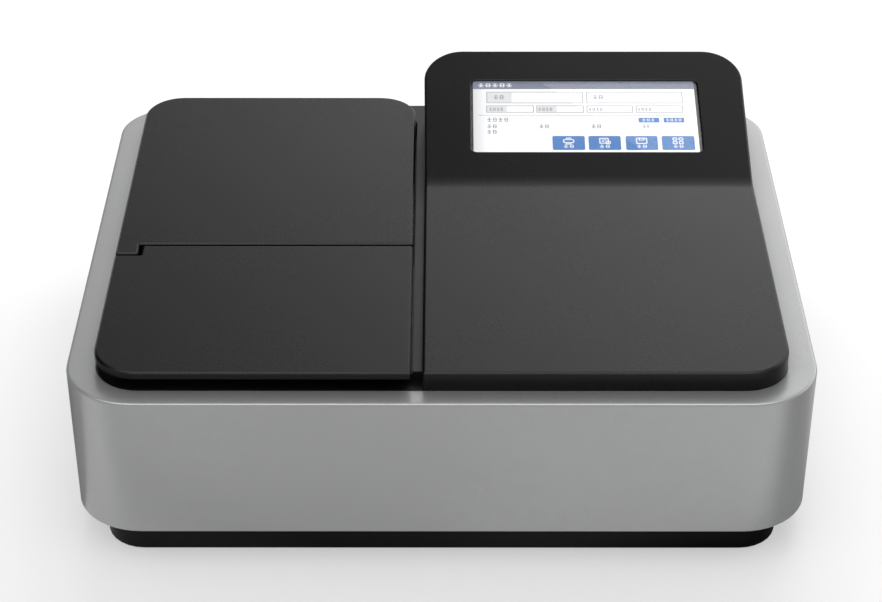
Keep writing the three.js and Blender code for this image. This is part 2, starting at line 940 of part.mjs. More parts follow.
function displayPieces() {
  const glassTop = bezelLip + seat;
  const panelTop = Math.max(glassTop + glassThickness, coverWall) + seat;
  const boardTop = panelTop + panelThickness + seat;
  const glass = displayPlate(screenOutline, -glassMargin, glassTop, glassThickness);
  const panel = displayPlate(screenOutline, -glassMargin, panelTop, panelThickness);
  const middle = screenRise + screenHeight / 2;
  const board = rounded(
    screenLeft + displayBoardInset,
    screenRight - displayBoardInset,
    middle - displayBoardHeight / 2,
    middle + displayBoardHeight / 2,
    screenRadius,
  );
  const plate = displayPlate(board, 0, boardTop, boardThickness);
  const chipTop = boardTop + boardThickness / 2;
  const chip = block(
    (screenLeft + screenRight - displayChipWidth) / 2,
    (screenLeft + screenRight + displayChipWidth) / 2,
    middle - displayBoardHeight / 4,
    middle + displayBoardHeight / 4,
    -chipTop - chipHeight,
    -chipTop,
    hoodFrame,
  );
  place("display_glass", glass, darkGlass);
  place("display_panel", panel, blackPlastic);
  place("display_board", join(plate, chip), circuitGreen);
}

const hingePlaces = [
  ["left", hingeLeftX],
  ["right", hingeRightX],
];
const lugReach = earWidth / 2 + lugGap + lugWidth;
const linerOutline = rounded(
  chamberLeft - linerMargin,
  chamberRight + linerMargin,
  chamberFront - linerMargin,
  chamberBack + linerMargin,
  chamberRadius + linerMargin,
);
const catchY = (collarFront + collarWall + chamberFront - linerMargin) / 2;

// Sample lid: bevelled plate with a notch for the tab, hinge lugs and pockets below.
function sampleLid() {
  const outline = {
    ...rounded(coverLeft, channelLeft, coverFront, lidRear, sharpRadius),
    frontLeft: coverFrontRadius,
  };
  const plate = form(outline, bevelled(lidUnder, coverTop));
  const low = lidUnder - overrun;
  const notch = block(
    coverLeft - overrun,
    coverLeft + tabWidth + tabGap,
    rearCoverFront - tabReach - tabGap,
    lidRear + overrun,
    low,
    coverTop + overrun,
  );
  const linerHole = column(linerOutline, 0, low, lidUnder + linerPocket);
  const magnetHole = slab(
    chamberX,
    catchY,
    magnetWidth + 2 * running,
    magnetDepth + 2 * running,
    low,
    lidUnder + magnetPocket,
  );
  const lugs = hingePlaces.map(([, x]) =>
    barX(x - lugReach, x + lugReach, hingeY, lidUnder, earRadius, smallSides),
  );
  const earHoles = hingePlaces.map(([, x]) =>
    block(
      x - earWidth / 2 - lugGap,
      x + earWidth / 2 + lugGap,
      hingeY - earRadius - 2 * lugGap,
      lidRear + overrun,
      low - overrun,
      coverTop - lidSkin,
    ),
  );
  const bores = hingePlaces.map(([, x]) =>
    barX(x - lugReach - overrun, x + lugReach + overrun, hingeY, lidUnder, pinBore, smallSides),
  );
  return cut(join(cut(plate, notch), lugs), linerHole, magnetHole, earHoles, bores);
}

const pinBore = hingePinRadius + pinPlay;

// Hinge ear screwed to the tray behind the collar.
function hingeEar(x) {
  const x0 = x - earWidth / 2;
  const x1 = x + earWidth / 2;
  const base = deckTop + seat;
  const footPlate = slab(x, hingeY, earFootLength, earFootDepth, base, base + earFootThickness);
  const post = block(x0, x1, hingeY - earPost / 2, hingeY + earPost / 2, base, lidUnder);
  const eye = barX(x0, x1, hingeY, lidUnder, earRadius, smallSides);
  const bore = barX(x0 - overrun, x1 + overrun, hingeY, lidUnder, pinBore, smallSides);
  return cut(join(footPlate, post, eye), bore);
}

// Light trap under the lid: plate in the lid's pocket and a block that enters the well.
function lidLiner() {
  const plateTop = lidUnder + linerPocket - seat;
  const plateLow = plateTop - linerPlate;
  const plate = column(linerOutline, running, plateLow, plateTop);
  const trap = column(mouthOutline, linerInset, lidUnder - linerDepth, plateTop);
  return join(plate, trap);
}

function lidGasket() {
  const low = collarTop + seat;
  const high = lidUnder + linerPocket - 2 * seat - linerPlate;
  const outer = column(mouthOutline, -gasketOffset - gasketWidth, low, high);
  return cut(outer, column(mouthOutline, -gasketOffset, low - overrun, high + overrun));
}

function lidFittings() {
  hingePlaces.forEach(([side, x]) => {
    place(`hinge_ear_${side}`, hingeEar(x), steel);
    const pin = barX(x - lugReach, x + lugReach, hingeY, lidUnder, hingePinRadius, smallSides);
    place(`hinge_pin_${side}`, pin, steel);
  });
  const onCollar = collarTop + seat;
  const bumperY = collarFront + bumperInset + bumperRadius / 2;
  const bumper = (x) => bar(x, bumperY, bumperRadius, onCollar, lidUnder - seat, smallSides);
  place("bumper_left", bumper(coverLeft + bumperLeftInset), rubber);
  place("bumper_right", bumper(channelLeft - bumperRightInset), rubber);
  const magnetTop = lidUnder + magnetPocket - seat;
  const magnetLow = magnetTop - magnetHeight;
  place("lid_magnet", slab(chamberX, catchY, magnetWidth, magnetDepth, magnetLow, magnetTop), nickel);
  const catchTop = onCollar + catchThickness;
  place("catch_plate", slab(chamberX, catchY, catchWidth, catchDepth, onCollar, catchTop), steel);
}

// Sample well with its light ports, open to the top.
function sampleChamber() {
  const top = collarRoof - seat;
  const outer = column(mouthOutline, -chamberWall, onBench, top);
  const inner = column(mouthOutline, 0, chamberFloor, top + overrun);
  const y0 = chamberBack - overrun;
  const excitationPort = barY(chamberX, y0, chamberBack + chamberWall + overrun, beamZ, portRadius);
  const x0 = chamberRight - overrun;
  const emissionPort = barX(x0, chamberRight + chamberWall + overrun, chamberY, beamZ, portRadius);
  return cut(outer, inner, excitationPort, emissionPort);
}

// Cuvette holder: a square post with a slot from above and a window on each side.
function cuvetteHolder() {
  const base = chamberFloor + seat;
  const flangeTop = base + holderFlangeThickness;
  const flange = slab(chamberX, chamberY, holderFlange, holderFlange, base, flangeTop);
  const post = slab(chamberX, chamberY, holderSize, holderSize, base, holderTop);
  const slot = slab(chamberX, chamberY, cuvetteSlot, cuvetteSlot, cuvetteFloor, holderTop + overrun);
  const low = beamZ - holderWindowHeight / 2;
  const high = beamZ + holderWindowHeight / 2;
  const long = holderSize + overrun;
  const windows = [
    slab(chamberX, chamberY, long, holderWindowWidth, low, high),
    slab(chamberX, chamberY, holderWindowWidth, long, low, high),
  ];
  return cut(join(flange, post), slot, windows);
}

// The two monochromators hang on the chamber ports: one frame turned a quarter from the other.
const excitation = {
  name: "excitation",
  x: chamberX,
  y: chamberBack + chamberWall + caseGap,
  turn: 0,
};
const emission = {
  name: "emission",
  x: chamberRight + chamberWall + caseGap,
  y: chamberY,
  turn: -quarter,
};

// A place in a monochromator's own frame, as a place in the instrument.
function inInstrument({ x, y, turn }, u, v) {
  const [c, s] = [Math.cos(turn), Math.sin(turn)];
  return [x + u * c - v * s, y + u * s + v * c];
}

// Bench casting: an L-shaped plate on legs, with a pivot boss under each grating.
function opticalBench() {
  const left = lampX - lampHousingWidth / 2;
  const front = chamberY - caseRight - benchMargin;
  const armRear = lampFront + lampHousingDepth;
  const elbowX = excitation.x + caseRight + benchMargin / 2;
  const right = tubeLeft + tubeHousingLength + benchMargin;
  const plate = prism(
    [
      [left, front],
      [right, front],
      [right, benchElbowY],
      [elbowX, benchElbowY],
      [elbowX, armRear],
      [left, armRear],
    ],
    benchBottom,
    benchTop,
  );
  const legInset = 2 * legRadius;
  const legPlaces = [
    [left + legInset, front + legInset],
    [right - legInset, front + legInset],
    [right - legInset, benchElbowY - legInset],
    [elbowX - legInset, benchElbowY],
    [elbowX - legInset, armRear - legInset],
    [left + legInset, armRear - legInset],
  ];
  const legs = legPlaces.map(([x, y]) =>
    bar(x, y, legRadius, chassisTop + seat, benchTop - overrun, smallSides),
  );
  const pivots = [excitation, emission].map((unit) => inInstrument(unit, 0, gratingV));
  const bosses = pivots.map(([x, y]) =>
    bar(x, y, pivotBossRadius, benchBottom, benchTop + pivotBossHeight),
  );
  const bores = pivots.map(([x, y]) => {
    const bottom = hubBottom - spindleLength - seat;
    return bar(x, y, spindleRadius + pinPlay, bottom, hubBottom + overrun);
  });
  return cut(join(plate, legs, bosses), bores);
}

// Half the angle that a tooth fills at a radius, from the involute of its base circle.
function toothHalfAngle(teeth, radius) {
  const pitch = (gearModule * teeth) / 2;
  const base = pitch * Math.cos(pressureAngle);
  const involute = (r) => {
    const angle = Math.acos(Math.min(base / r, 1));
    return Math.tan(angle) - angle;
  };
  const atPitch = quarter / teeth - backlash / (2 * pitch);
  return atPitch + involute(pitch) - involute(Math.max(radius, base));
}

// Outline points of gear teeth whose middles lie at the given angles.
function toothPoints(teeth, angles) {
  const pitch = (gearModule * teeth) / 2;
  const root = pitch - rootShare * gearModule;
  const tip = pitch + gearModule;
  const radii = [root, pitch, tip];
  const at = (radius, angle) => [radius * Math.cos(angle), radius * Math.sin(angle)];
  return angles.flatMap((middle) => [
    ...radii.map((radius) => at(radius, middle - toothHalfAngle(teeth, radius))),
    ...[...radii].reverse().map((radius) => at(radius, middle + toothHalfAngle(teeth, radius))),
  ]);
}

function shifted(outline, u, v) {
  return outline.map(([x, y]) => [x + u, y + v]);
}

// Pinion on the motor shaft, with a gap between teeth facing the sector.
function pinion() {
  const step = (4 * quarter) / pinionTeeth;
  const angles = Array.from({ length: pinionTeeth }, (_, i) => (i + 1 / 2) * step);
  const gear = prism(shifted(toothPoints(pinionTeeth, angles), motorU, gratingV), gearZ, gearZ + gearWidth);
  const shaftLow = onBench + motorEarThickness + seat;
  const shaftTop = gearZ + gearWidth + shaftOverGear;
  return join(gear, bar(motorU, gratingV, shaftRadius, shaftLow, shaftTop, smallSides));
}

// Grating table: spindle, hub, toothed sector and disc, turned as one piece.
function turntable() {
  const step = (4 * quarter) / sectorTeeth;
  const angles = Array.from(
    { length: sectorShown },
    (_, i) => (i - (sectorShown - 1) / 2) * step,
  );
  const half = (sectorShown / 2) * step;
  const inner = hubRadius / 2;
  const outline = [
    [-inner, 0],
    [inner * Math.cos(3 * half), -inner * Math.sin(3 * half)],
    ...toothPoints(sectorTeeth, angles),
    [inner * Math.cos(3 * half), inner * Math.sin(3 * half)],
  ];
  const sector = prism(shifted(outline, 0, gratingV), gearZ, gearZ + gearWidth);
  const spindleLow = hubBottom - spindleLength;
  const spindle = bar(0, gratingV, spindleRadius, spindleLow, hubBottom + overrun);
  const hub = bar(0, gratingV, hubRadius, hubBottom, tableTop - tableThickness / 2);
  const table = bar(0, gratingV, tableRadius, tableTop - tableThickness, tableTop);
  return join(sector, spindle, hub, table);
}

// A plate standing on edge at u, v, with its face through that point, turned about Z.
function standingPlate(u, v, turn, width, thickness, z0, z1) {
  const matrix = new THREE.Matrix4().makeRotationZ(turn).setPosition(u, v, 0);
  return block(-width / 2, width / 2, 0, thickness, z0, z1, matrix);
}

function grating() {
  const low = tableTop + seat;
  return standingPlate(0, gratingV, -foldTurn, gratingWidth, gratingThickness, low, low + gratingHeight);
}

// Fold mirror glued to its post.
function foldMirror() {
  const low = beamZ - mirrorHeight / 2;
  const turn = 2 * quarter - foldTurn;
  const high = low + mirrorHeight;
  const plate = standingPlate(foldU, foldV, turn, mirrorWidth, mirrorThickness, low, high);
  const postV = foldV - mirrorThickness / 2;
  const post = slab(foldU, postV, mirrorPost, mirrorPost, onBench, low + overrun);
  return join(plate, post);
}

// Stepping motor: can with two ears and a bore for the shaft.
function stepper() {
  const low = onBench;
  const high = onBench + motorHeight;
  const bore = shaftRadius + pinPlay;
  const can = turned(
    [
      [0, low],
      [motorRadius, low],
      [motorRadius, high],
      [bore, high],
      [bore, low + motorEarThickness],
      [0, low + motorEarThickness],
    ],
    motorU,
    gratingV,
  );
  const reach = 2 * (motorRadius + motorEarReach);
  const ears = slab(motorU, gratingV, motorEarWidth, reach, high - motorEarThickness, high);
  const shaftHole = bar(motorU, gratingV, bore, high - overrun, high + overrun, smallSides);
  return cut(join(can, ears), shaftHole);
}

// Light-tight case over the optics, open below, with an entry and an exit slit.
function monochromatorCase() {
  const outline = rounded(-caseLeft, caseRight, 0, caseLength, chamberRadius);
  const outer = column(outline, 0, onBench, caseTop);
  const inner = column(outline, caseWall, onBench - overrun, caseTop - caseWall);
  const slit = (u, v) => {
    const low = beamZ - slitHeight / 2;
    return slab(u, v, slitWidth, 2 * caseWall + overrun, low, low + slitHeight);
  };
  return cut(outer, inner, slit(0, 0), slit(foldU, caseLength));
}

// Lens barrel across the gap between the chamber wall and the case.
function lensBarrel() {
  const v0 = seat - caseGap;
  const tube = barY(0, v0, -seat, beamZ, barrelRadius);
  return cut(tube, barY(0, v0 - overrun, overrun, beamZ, barrelRadius - barrelWall));
}

// Biconvex lens held in the barrel, its faces as arcs across the aperture.
function lens() {
  const radius = barrelRadius - barrelWall - pinPlay;
  const bulge = (lensThickness - lensEdge) / 2;
  const face = Array.from({ length: edgeSteps + 1 }, (_, i) => {
    const share = i / edgeSteps;
    return [radius * share, bulge * (1 - share * share) + lensEdge / 2];
  });
  const profile = [...face.map(([r, h]) => [r, -h]), ...face.reverse()];
  const points = profile.map(([r, h]) => new THREE.Vector2(r, h));
  const geometry = new THREE.LatheGeometry(points, roundSides);
  return solid(geometry.translate(0, -caseGap / 2, beamZ));
}

function monochromator(unit) {
  const group = new THREE.Group();
  group.position.set(unit.x, unit.y, 0);
  group.rotation.z = unit.turn;
  instrument.add(group);
  const put = (name, piece, material) => place(`${unit.name}_${name}`, piece, material, group);
  put("case", monochromatorCase(), blackAnodised);
  put("lens_barrel", lensBarrel(), blackAnodised);
  put("lens", lens(), clearGlass);
  put("mirror", foldMirror(), mirrorCoat);
  put("motor", stepper(), steel);
  put("pinion", pinion(), brass);
  put("turntable", turntable(), brass);
  put("grating", grating(), mirrorCoat);
  return group;
}

// Rotary solenoid and the blade that it swings out of the beam.
function beamShutter(group) {
  const low = onBench;
  const high = onBench + solenoidHeight;
  const bore = bladePinRadius + pinPlay;
  const bladeLow = high + running;
  const can = turned(
    [
      [0, low],
      [solenoidRadius, low],
      [solenoidRadius, high],
      [bore, high],
      [bore, bladeLow - bladePinLength - seat],
      [0, bladeLow - bladePinLength - seat],
    ],
    shutterU,
    shutterV,
    smallSides,
  );
  const hubTop = bladeLow + overrun;
  const pinLow = bladeLow - bladePinLength;
  const hub = bar(shutterU, shutterV, bladeHubRadius, bladeLow, hubTop, smallSides);
  const pin = bar(shutterU, shutterV, bladePinRadius, pinLow, hubTop, smallSides);
  const span = Math.hypot(shutterU, shutterV - bladeV);
  const armTurn = Math.atan2(bladeV - shutterV, -shutterU);
  const armFrame = new THREE.Matrix4().makeRotationZ(armTurn).setPosition(shutterU, shutterV, 0);
  const half = bladeArmWidth / 2;
  const arm = block(0, span, -half, half, bladeLow, bladeLow + bladeThickness, armFrame);
  const flag = slab(0, bladeV, bladeWidth, bladeThickness, bladeLow, bladeLow + bladeHeight);
  place("shutter_solenoid", can, steel, group);
  place("shutter_blade", join(hub, pin, arm, flag), blackAnodised, group);
}

// A housing that stands on the bench, open below, with a round light window.
function standingHousing(x0, x1, y0, y1, top, lightWindow) {
  const outline = rounded(x0, x1, y0, y1, chamberRadius);
  const outer = column(outline, 0, onBench, top);
  const inner = column(outline, housingWall, onBench - overrun, top - housingWall);
  return cut(outer, inner, lightWindow);
}

function lamp() {
  const rear = lampFront + lampHousingDepth;
  const left = lampX - lampHousingWidth / 2;
  const right = lampX + lampHousingWidth / 2;
  const through = lampFront + housingWall + overrun;
  const lightWindow = barY(lampX, lampFront - overrun, through, beamZ, portRadius);
  const pitch = lampHousingDepth / (coolingSlots + 2);
  const inset = 2 * housingWall;
  const slots = Array.from({ length: coolingSlots }, (_, i) => {
    const y = lampFront + pitch * (i + 3 / 2);
    const low = lampHousingTop - inset;
    return slab(lampX, y, lampHousingWidth - 2 * inset, coolingSlotWidth, low, lampHousingTop + overrun);
  });
  const housing = standingHousing(left, right, lampFront, rear, lampHousingTop, lightWindow);
  place("lamp_housing", cut(housing, slots), castAluminium);
  const baseTop = onBench + lampBaseHeight;
  const bulb = [
    [0, onBench],
    [lampBaseRadius, onBench],
    [lampBaseRadius, baseTop],
    [bulbRadius, baseTop],
    [bulbRadius, bulbTop - bulbRadius],
    [bulbRadius / Math.SQRT2, bulbTop - bulbRadius * (1 - 1 / Math.SQRT2)],
    [0, bulbTop],
  ];
  place("xenon_lamp", turned(bulb, lampX, lampY), clearGlass);
  place("lamp_reflector", reflector(rear - housingWall - seat), mirrorCoat);
}

// Dished reflector behind the lamp, on a boss that meets the housing's rear wall.
function reflector(backY) {
  const rimY = lampY + bulbRadius * 2;
  const vertexY = rimY + reflectorDepth;
  const dish = (radius, y, depth) =>
    Array.from({ length: dishSteps + 1 }, (_, i) => {
      const share = i / dishSteps;
      return [radius * share, y - depth * share * share];
    });
  const outer = dish(reflectorRadius, vertexY + reflectorWall, reflectorDepth + reflectorWall);
  const inner = dish(reflectorRadius - reflectorWall, vertexY, reflectorDepth).reverse();
  const boss = [
    [0, backY],
    [reflectorBoss, backY],
    [reflectorBoss, vertexY],
  ];
  const points = [...boss, ...outer.slice(2), ...inner].map(([r, y]) => new THREE.Vector2(r, y));
  const geometry = new THREE.LatheGeometry(points, roundSides);
  return solid(geometry.translate(lampX, 0, beamZ));
}

function detector() {
  const y0 = tubeY - tubeHousingWidth / 2;
  const y1 = tubeY + tubeHousingWidth / 2;
  const lightWindow = barX(tubeLeft - overrun, tubeLeft + housingWall + overrun, tubeY, beamZ, portRadius);
  const right = tubeLeft + tubeHousingLength;
  const housing = standingHousing(tubeLeft, right, y0, y1, tubeHousingTop, lightWindow);
  place("detector_housing", housing, blackAnodised);
  const baseTop = onBench + tubeBaseHeight;
  const tube = [
    [0, onBench],
    [tubeBaseRadius, onBench],
    [tubeBaseRadius, baseTop],
    [tubeRadius, baseTop],
    [tubeRadius, tubeTop - tubeRadius / 2],
    [tubeRadius / 2, tubeTop],
    [0, tubeTop],
  ];
  place("photomultiplier_tube", turned(tube, tubeX, tubeY), clearGlass);
}

// Main board: plate with processor, connectors and shielded converter block.
function mainBoard() {
  const low = chassisTop + standoffHeight + seat;
  const high = low + boardThickness;
  const plate = block(boardLeft, boardRight, boardFront, boardRear, low, high);
  const [boardWidth, boardDepth] = [boardRight - boardLeft, boardRear - boardFront];
  const componentShares = [
    [-0.28, 0.3, 0.2, 0.17, 1],
    [0.2, 0.28, 0.14, 0.12, 1],
    [0.25, -0.05, 0.3, 0.22, 3],
    [-0.25, -0.1, 0.16, 0.1, 2],
    [-0.1, -0.4, 0.5, 0.06, 3],
    [0.36, -0.36, 0.12, 0.14, 2],
  ];
  const parts = componentShares.map(([x, y, width, depth, rise]) =>
    slab(
      (boardLeft + boardRight) / 2 + x * boardWidth,
      (boardFront + boardRear) / 2 + y * boardDepth,
      width * boardWidth,
      depth * boardDepth,
      low + boardThickness / 2,
      high + rise * chipHeight,
    ),
  );
  return join(plate, parts);
}

// Open-frame power supply: angle bracket, transformer, capacitors and finned heat sink.
function powerSupply() {
  const low = chassisTop + seat;
  const flange = low + supplyFlange;
  const base = block(supplyLeft, supplyRight, supplyFront, supplyRear, low, flange);
  const side = block(
    supplyLeft,
    supplyLeft + supplyFlange,
    supplyFront,
    supplyRear,
    low,
    low + supplySide,
  );
  const transformerX = supplyLeft + transformerWidth / 2 + transformerGap;
  const transformer = slab(
    transformerX,
    (supplyFront + supplyRear) / 2 + supplyDepth / 8,
    transformerWidth,
    transformerDepth,
    low,
    low + transformerHeight,
  );
  const capacitorY = supplyFront + capacitorRadius + supplyFlange;
  const capacitors = [0, 1].map((i) => {
    const x = supplyLeft + 2 * capacitorRadius + i * (2 * capacitorRadius + supplyFlange);
    return bar(x, capacitorY, capacitorRadius, low, low + capacitorHeight, smallSides);
  });
  const finsLeft = supplyRight - supplyFlange - finPitch * (finCount - 1) - finThickness;
  const y0 = supplyFront + supplyFlange;
  const y1 = supplyRear - supplyFlange;
  const fins = Array.from({ length: finCount }, (_, i) => {
    const x = finsLeft + i * finPitch;
    return block(x, x + finThickness, y0, y1, low, low + finHeight);
  });
  const web = block(finsLeft, supplyRight - supplyFlange, y0, y1, low, flange + supplyFlange);
  return join(base, side, transformer, capacitors, fins, web);
}

// Grille slots of the fan, each as long as the circle is wide at its height.
function grilleCuts(y0, y1) {
  return Array.from({ length: grilleSlots }, (_, i) => {
    const rise = (i - (grilleSlots - 1) / 2) * grillePitch;
    const edge = Math.abs(rise) + grilleSlotHeight / 2;
    const half = Math.sqrt(grilleRadius * grilleRadius - edge * edge);
    const z = panelMidZ + rise;
    return block(fanX - half, fanX + half, y0, y1, z - grilleSlotHeight / 2, z + grilleSlotHeight / 2);
  });
}

const inletBodyWidth = inletCavityWidth + 2 * inletWall;
const inletBodyHeight = inletCavityHeight + 2 * inletWall;
const frameInnerWidth = rockerWidth + 2 * running;
const frameInnerHeight = 2 * (rockerHalf + rockerPlay);
const frameBodyWidth = frameInnerWidth + 2 * frameWall;
const frameBodyHeight = frameInnerHeight + 2 * frameWall;

// Steel panel behind the window in the rear wall, punched for its fittings.
function rearPanel() {
  const plate = block(
    windowLeft - panelLap,
    windowRight + panelLap,
    panelIn,
    panelOut,
    windowLow - panelLap,
    windowHigh + panelLap,
  );
  const y0 = panelIn - overrun;
  const y1 = panelOut + overrun;
  const hole = (x, z, width, height) =>
    block(
      x - width / 2 - running,
      x + width / 2 + running,
      y0,
      y1,
      z - height / 2 - running,
      z + height / 2 + running,
    );
  return cut(
    plate,
    hole(inletX, panelMidZ, inletBodyWidth, inletBodyHeight),
    hole(rockerX, panelMidZ, frameBodyWidth, frameBodyHeight),
    hole(portX, usbZ, usbWidth, usbHeight),
    hole(portX, serialZ, serialFaceWidth, serialFaceHeight),
    grilleCuts(y0, y1),
  );
}

// An outline in X and Z raised along Y from y0 to y1.
function prismY(outline, y0, y1) {
  const shape = new THREE.Shape(outline.map(([x, z]) => new THREE.Vector2(x, z)));
  const geometry = new THREE.ExtrudeGeometry(shape, { depth: y1 - y0, bevelEnabled: false });
  return solid(geometry.rotateX(quarter).translate(0, y1, 0));
}

// Mains inlet: flange, socket body with two cut corners and three contacts.
function mainsInlet() {
  const outer = onPanel + inletFlange;
  const flange = block(
    inletX - inletWidth / 2,
    inletX + inletWidth / 2,
    onPanel,
    outer,
    panelMidZ - inletHeight / 2,
    panelMidZ + inletHeight / 2,
  );
  const body = block(
    inletX - inletBodyWidth / 2,
    inletX + inletBodyWidth / 2,
    outer - inletDepth - inletWall,
    outer,
    panelMidZ - inletBodyHeight / 2,
    panelMidZ + inletBodyHeight / 2,
  );
  const halfWidth = inletCavityWidth / 2;
  const halfHeight = inletCavityHeight / 2;
  const cavity = prismY(
    [
      [-halfWidth, -halfHeight],
      [halfWidth, -halfHeight],
      [halfWidth, halfHeight - inletCorner],
      [halfWidth - inletCorner, halfHeight],
      [inletCorner - halfWidth, halfHeight],
      [-halfWidth, halfHeight - inletCorner],
    ].map(([x, z]) => [x + inletX, z + panelMidZ]),
    outer - inletDepth,
    outer + overrun,
  );
  const contact = (x, z) =>
    block(
      x - contactWidth / 2,
      x + contactWidth / 2,
      outer - inletDepth - inletWall / 2,
      outer - inletDepth + contactLength,
      z - contactHeight / 2,
      z + contactHeight / 2,
    );
  const low = panelMidZ - contactDrop;
  const contacts = [
    contact(inletX - bladePitch / 2, low),
    contact(inletX + bladePitch / 2, low),
    contact(inletX, low + earthOffset),
  ];
  return join(cut(join(flange, body), cavity), contacts);
}

// Rocker switch: a snap-in frame and a rocker that tips about its middle.
function powerSwitch() {
  const outer = onPanel + frameFlange;
  const square = (width, height, y0, y1) =>
    block(
      rockerX - width / 2,
      rockerX + width / 2,
      y0,
      y1,
      panelMidZ - height / 2,
      panelMidZ + height / 2,
    );
  const bezel = 2 * frameBezel;
  const flange = square(frameBodyWidth + bezel, frameBodyHeight + bezel, onPanel, outer);
  const barrel = square(frameBodyWidth, frameBodyHeight, outer - frameDepth, outer);
  const hollowLow = outer - frameDepth + frameWall;
  const hollow = square(frameInnerWidth, frameInnerHeight, hollowLow, outer + overrun);
  place("switch_frame", cut(join(flange, barrel), hollow), blackPlastic);
  const shape = new THREE.Shape(
    [
      [rockerFace, -rockerHalf],
      [rockerCrown, 0],
      [rockerFace, rockerHalf],
      [-rockerBack, rockerBackHalf],
      [-rockerBack, -rockerBackHalf],
    ].map(([y, z]) => new THREE.Vector2(y, z)),
  );
  const geometry = new THREE.ExtrudeGeometry(shape, { depth: rockerWidth, bevelEnabled: false });
  geometry.translate(0, 0, -rockerWidth / 2);
  geometry.applyMatrix4(
    new THREE.Matrix4().makeBasis(
      new THREE.Vector3(0, 1, 0),
      new THREE.Vector3(0, 0, 1),
      new THREE.Vector3(1, 0, 0),
    ),
  );
  geometry.rotateX(-rockerTilt).translate(rockerX, onPanel - rockerSetback, panelMidZ);
  place("power_rocker", solid(geometry), blackPlastic);
}

// Square data socket with a metal shell.
function usbPort() {
  const outer = panelOut + usbProud;
  const shell = block(
    portX - usbWidth / 2,
    portX + usbWidth / 2,
    outer - usbDepth,
    outer,
    usbZ - usbHeight / 2,
    usbZ + usbHeight / 2,
  );
  const cavity = block(
    portX - usbCavityWidth / 2,
    portX + usbCavityWidth / 2,
    outer - usbCavityDepth,
    outer + overrun,
    usbZ - usbCavityHeight / 2,
    usbZ + usbCavityHeight / 2,
  );
  return cut(shell, cavity);
}

// Nine-way serial connector: flange behind the panel and a D-shaped face through it.
function serialPort() {
  const flangeOut = panelIn - seat;
  const flangeIn = flangeOut - serialFlangeThickness;
  const flange = block(
    portX - serialFlangeWidth / 2,
    portX + serialFlangeWidth / 2,
    flangeIn,
    flangeOut,
    serialZ - serialFlangeHeight / 2,
    serialZ + serialFlangeHeight / 2,
  );
  const half = serialFaceWidth / 2;
  const rise = serialFaceHeight / 2;
  const face = prismY(
    [
      [serialSlope - half, -rise],
      [half - serialSlope, -rise],
      [half, rise],
      [-half, rise],
    ].map(([x, z]) => [x + portX, z + serialZ]),
    flangeIn,
    panelOut + serialProud,
  );
  const body = block(
    portX - half,
    portX + half,
    flangeIn - serialBodyDepth,
    flangeOut,
    serialZ - rise,
    serialZ + rise,
  );
  return join(flange, face, body);
}

// Fan frame behind the grille: square ring, struts and a bearing plate on the inner side.
function fanFrame() {
  const outer = panelIn - seat;
  const inner = outer - fanDepth;
  const half = fanSize / 2;
  const square = block(fanX - half, fanX + half, inner, outer, panelMidZ - half, panelMidZ + half);
  const bore = barY(fanX, inner - overrun, outer + overrun, panelMidZ, fanBore);
  const mountEnd = inner + fanMountThickness;
  const mount = barY(fanX, inner, mountEnd, panelMidZ, fanHubRadius);
  const struts = Array.from({ length: fanStruts }, (_, i) => {
    const matrix = new THREE.Matrix4()
      .makeRotationY((i / fanStruts) * 4 * quarter + quarter / 2)
      .setPosition(fanX, 0, panelMidZ);
    const reach = fanBore + fanStrutWidth / 2;
    return block(0, reach, inner, mountEnd, -fanStrutWidth / 2, fanStrutWidth / 2, matrix);
  });
  const axle = barY(fanX, inner - overrun, outer, panelMidZ, fanShaftRadius + pinPlay, smallSides);
  const holeAt = half - fanHoleInset;
  const hole = (x, z) => barY(x, inner - overrun, outer + overrun, z, fanHoleRadius, smallSides);
  const holes = [-1, 1].flatMap((a) =>
    [-1, 1].map((b) => hole(fanX + a * holeAt, panelMidZ + b * holeAt)),
  );
  return cut(join(cut(square, bore), mount, struts), axle, holes);
}

// Fan rotor: hub with pitched blades and a stub shaft in the bearing plate.
function fanRotor() {
  const inner = panelIn - seat - fanDepth + fanMountThickness + running;
  const outer = inner + fanRotorDepth;
  const hub = barY(fanX, inner, outer, panelMidZ, fanHubRadius);
  const shaft = barY(fanX, inner - fanShaftLength, inner + overrun, panelMidZ, fanShaftRadius, smallSides);
  const middle = (inner + outer) / 2;
  const chord = (fanRotorDepth - overrun) / Math.sin(fanBladePitch);
  const blades = Array.from({ length: fanBlades }, (_, i) => {
    const matrix = new THREE.Matrix4()
      .makeTranslation(fanX, middle, panelMidZ)
      .multiply(new THREE.Matrix4().makeRotationY((i / fanBlades) * 4 * quarter))
      .multiply(new THREE.Matrix4().makeRotationX(fanBladePitch - quarter));
    const half = fanBladeThickness / 2;
    return block(fanHubRadius - overrun, fanBladeTip - half, -half, half, -chord / 2, chord / 2, matrix);
  });
  const sweep = barY(fanX, inner, outer, panelMidZ, fanBladeTip);
  return join(hub, shaft, join(blades).intersect(sweep));
}

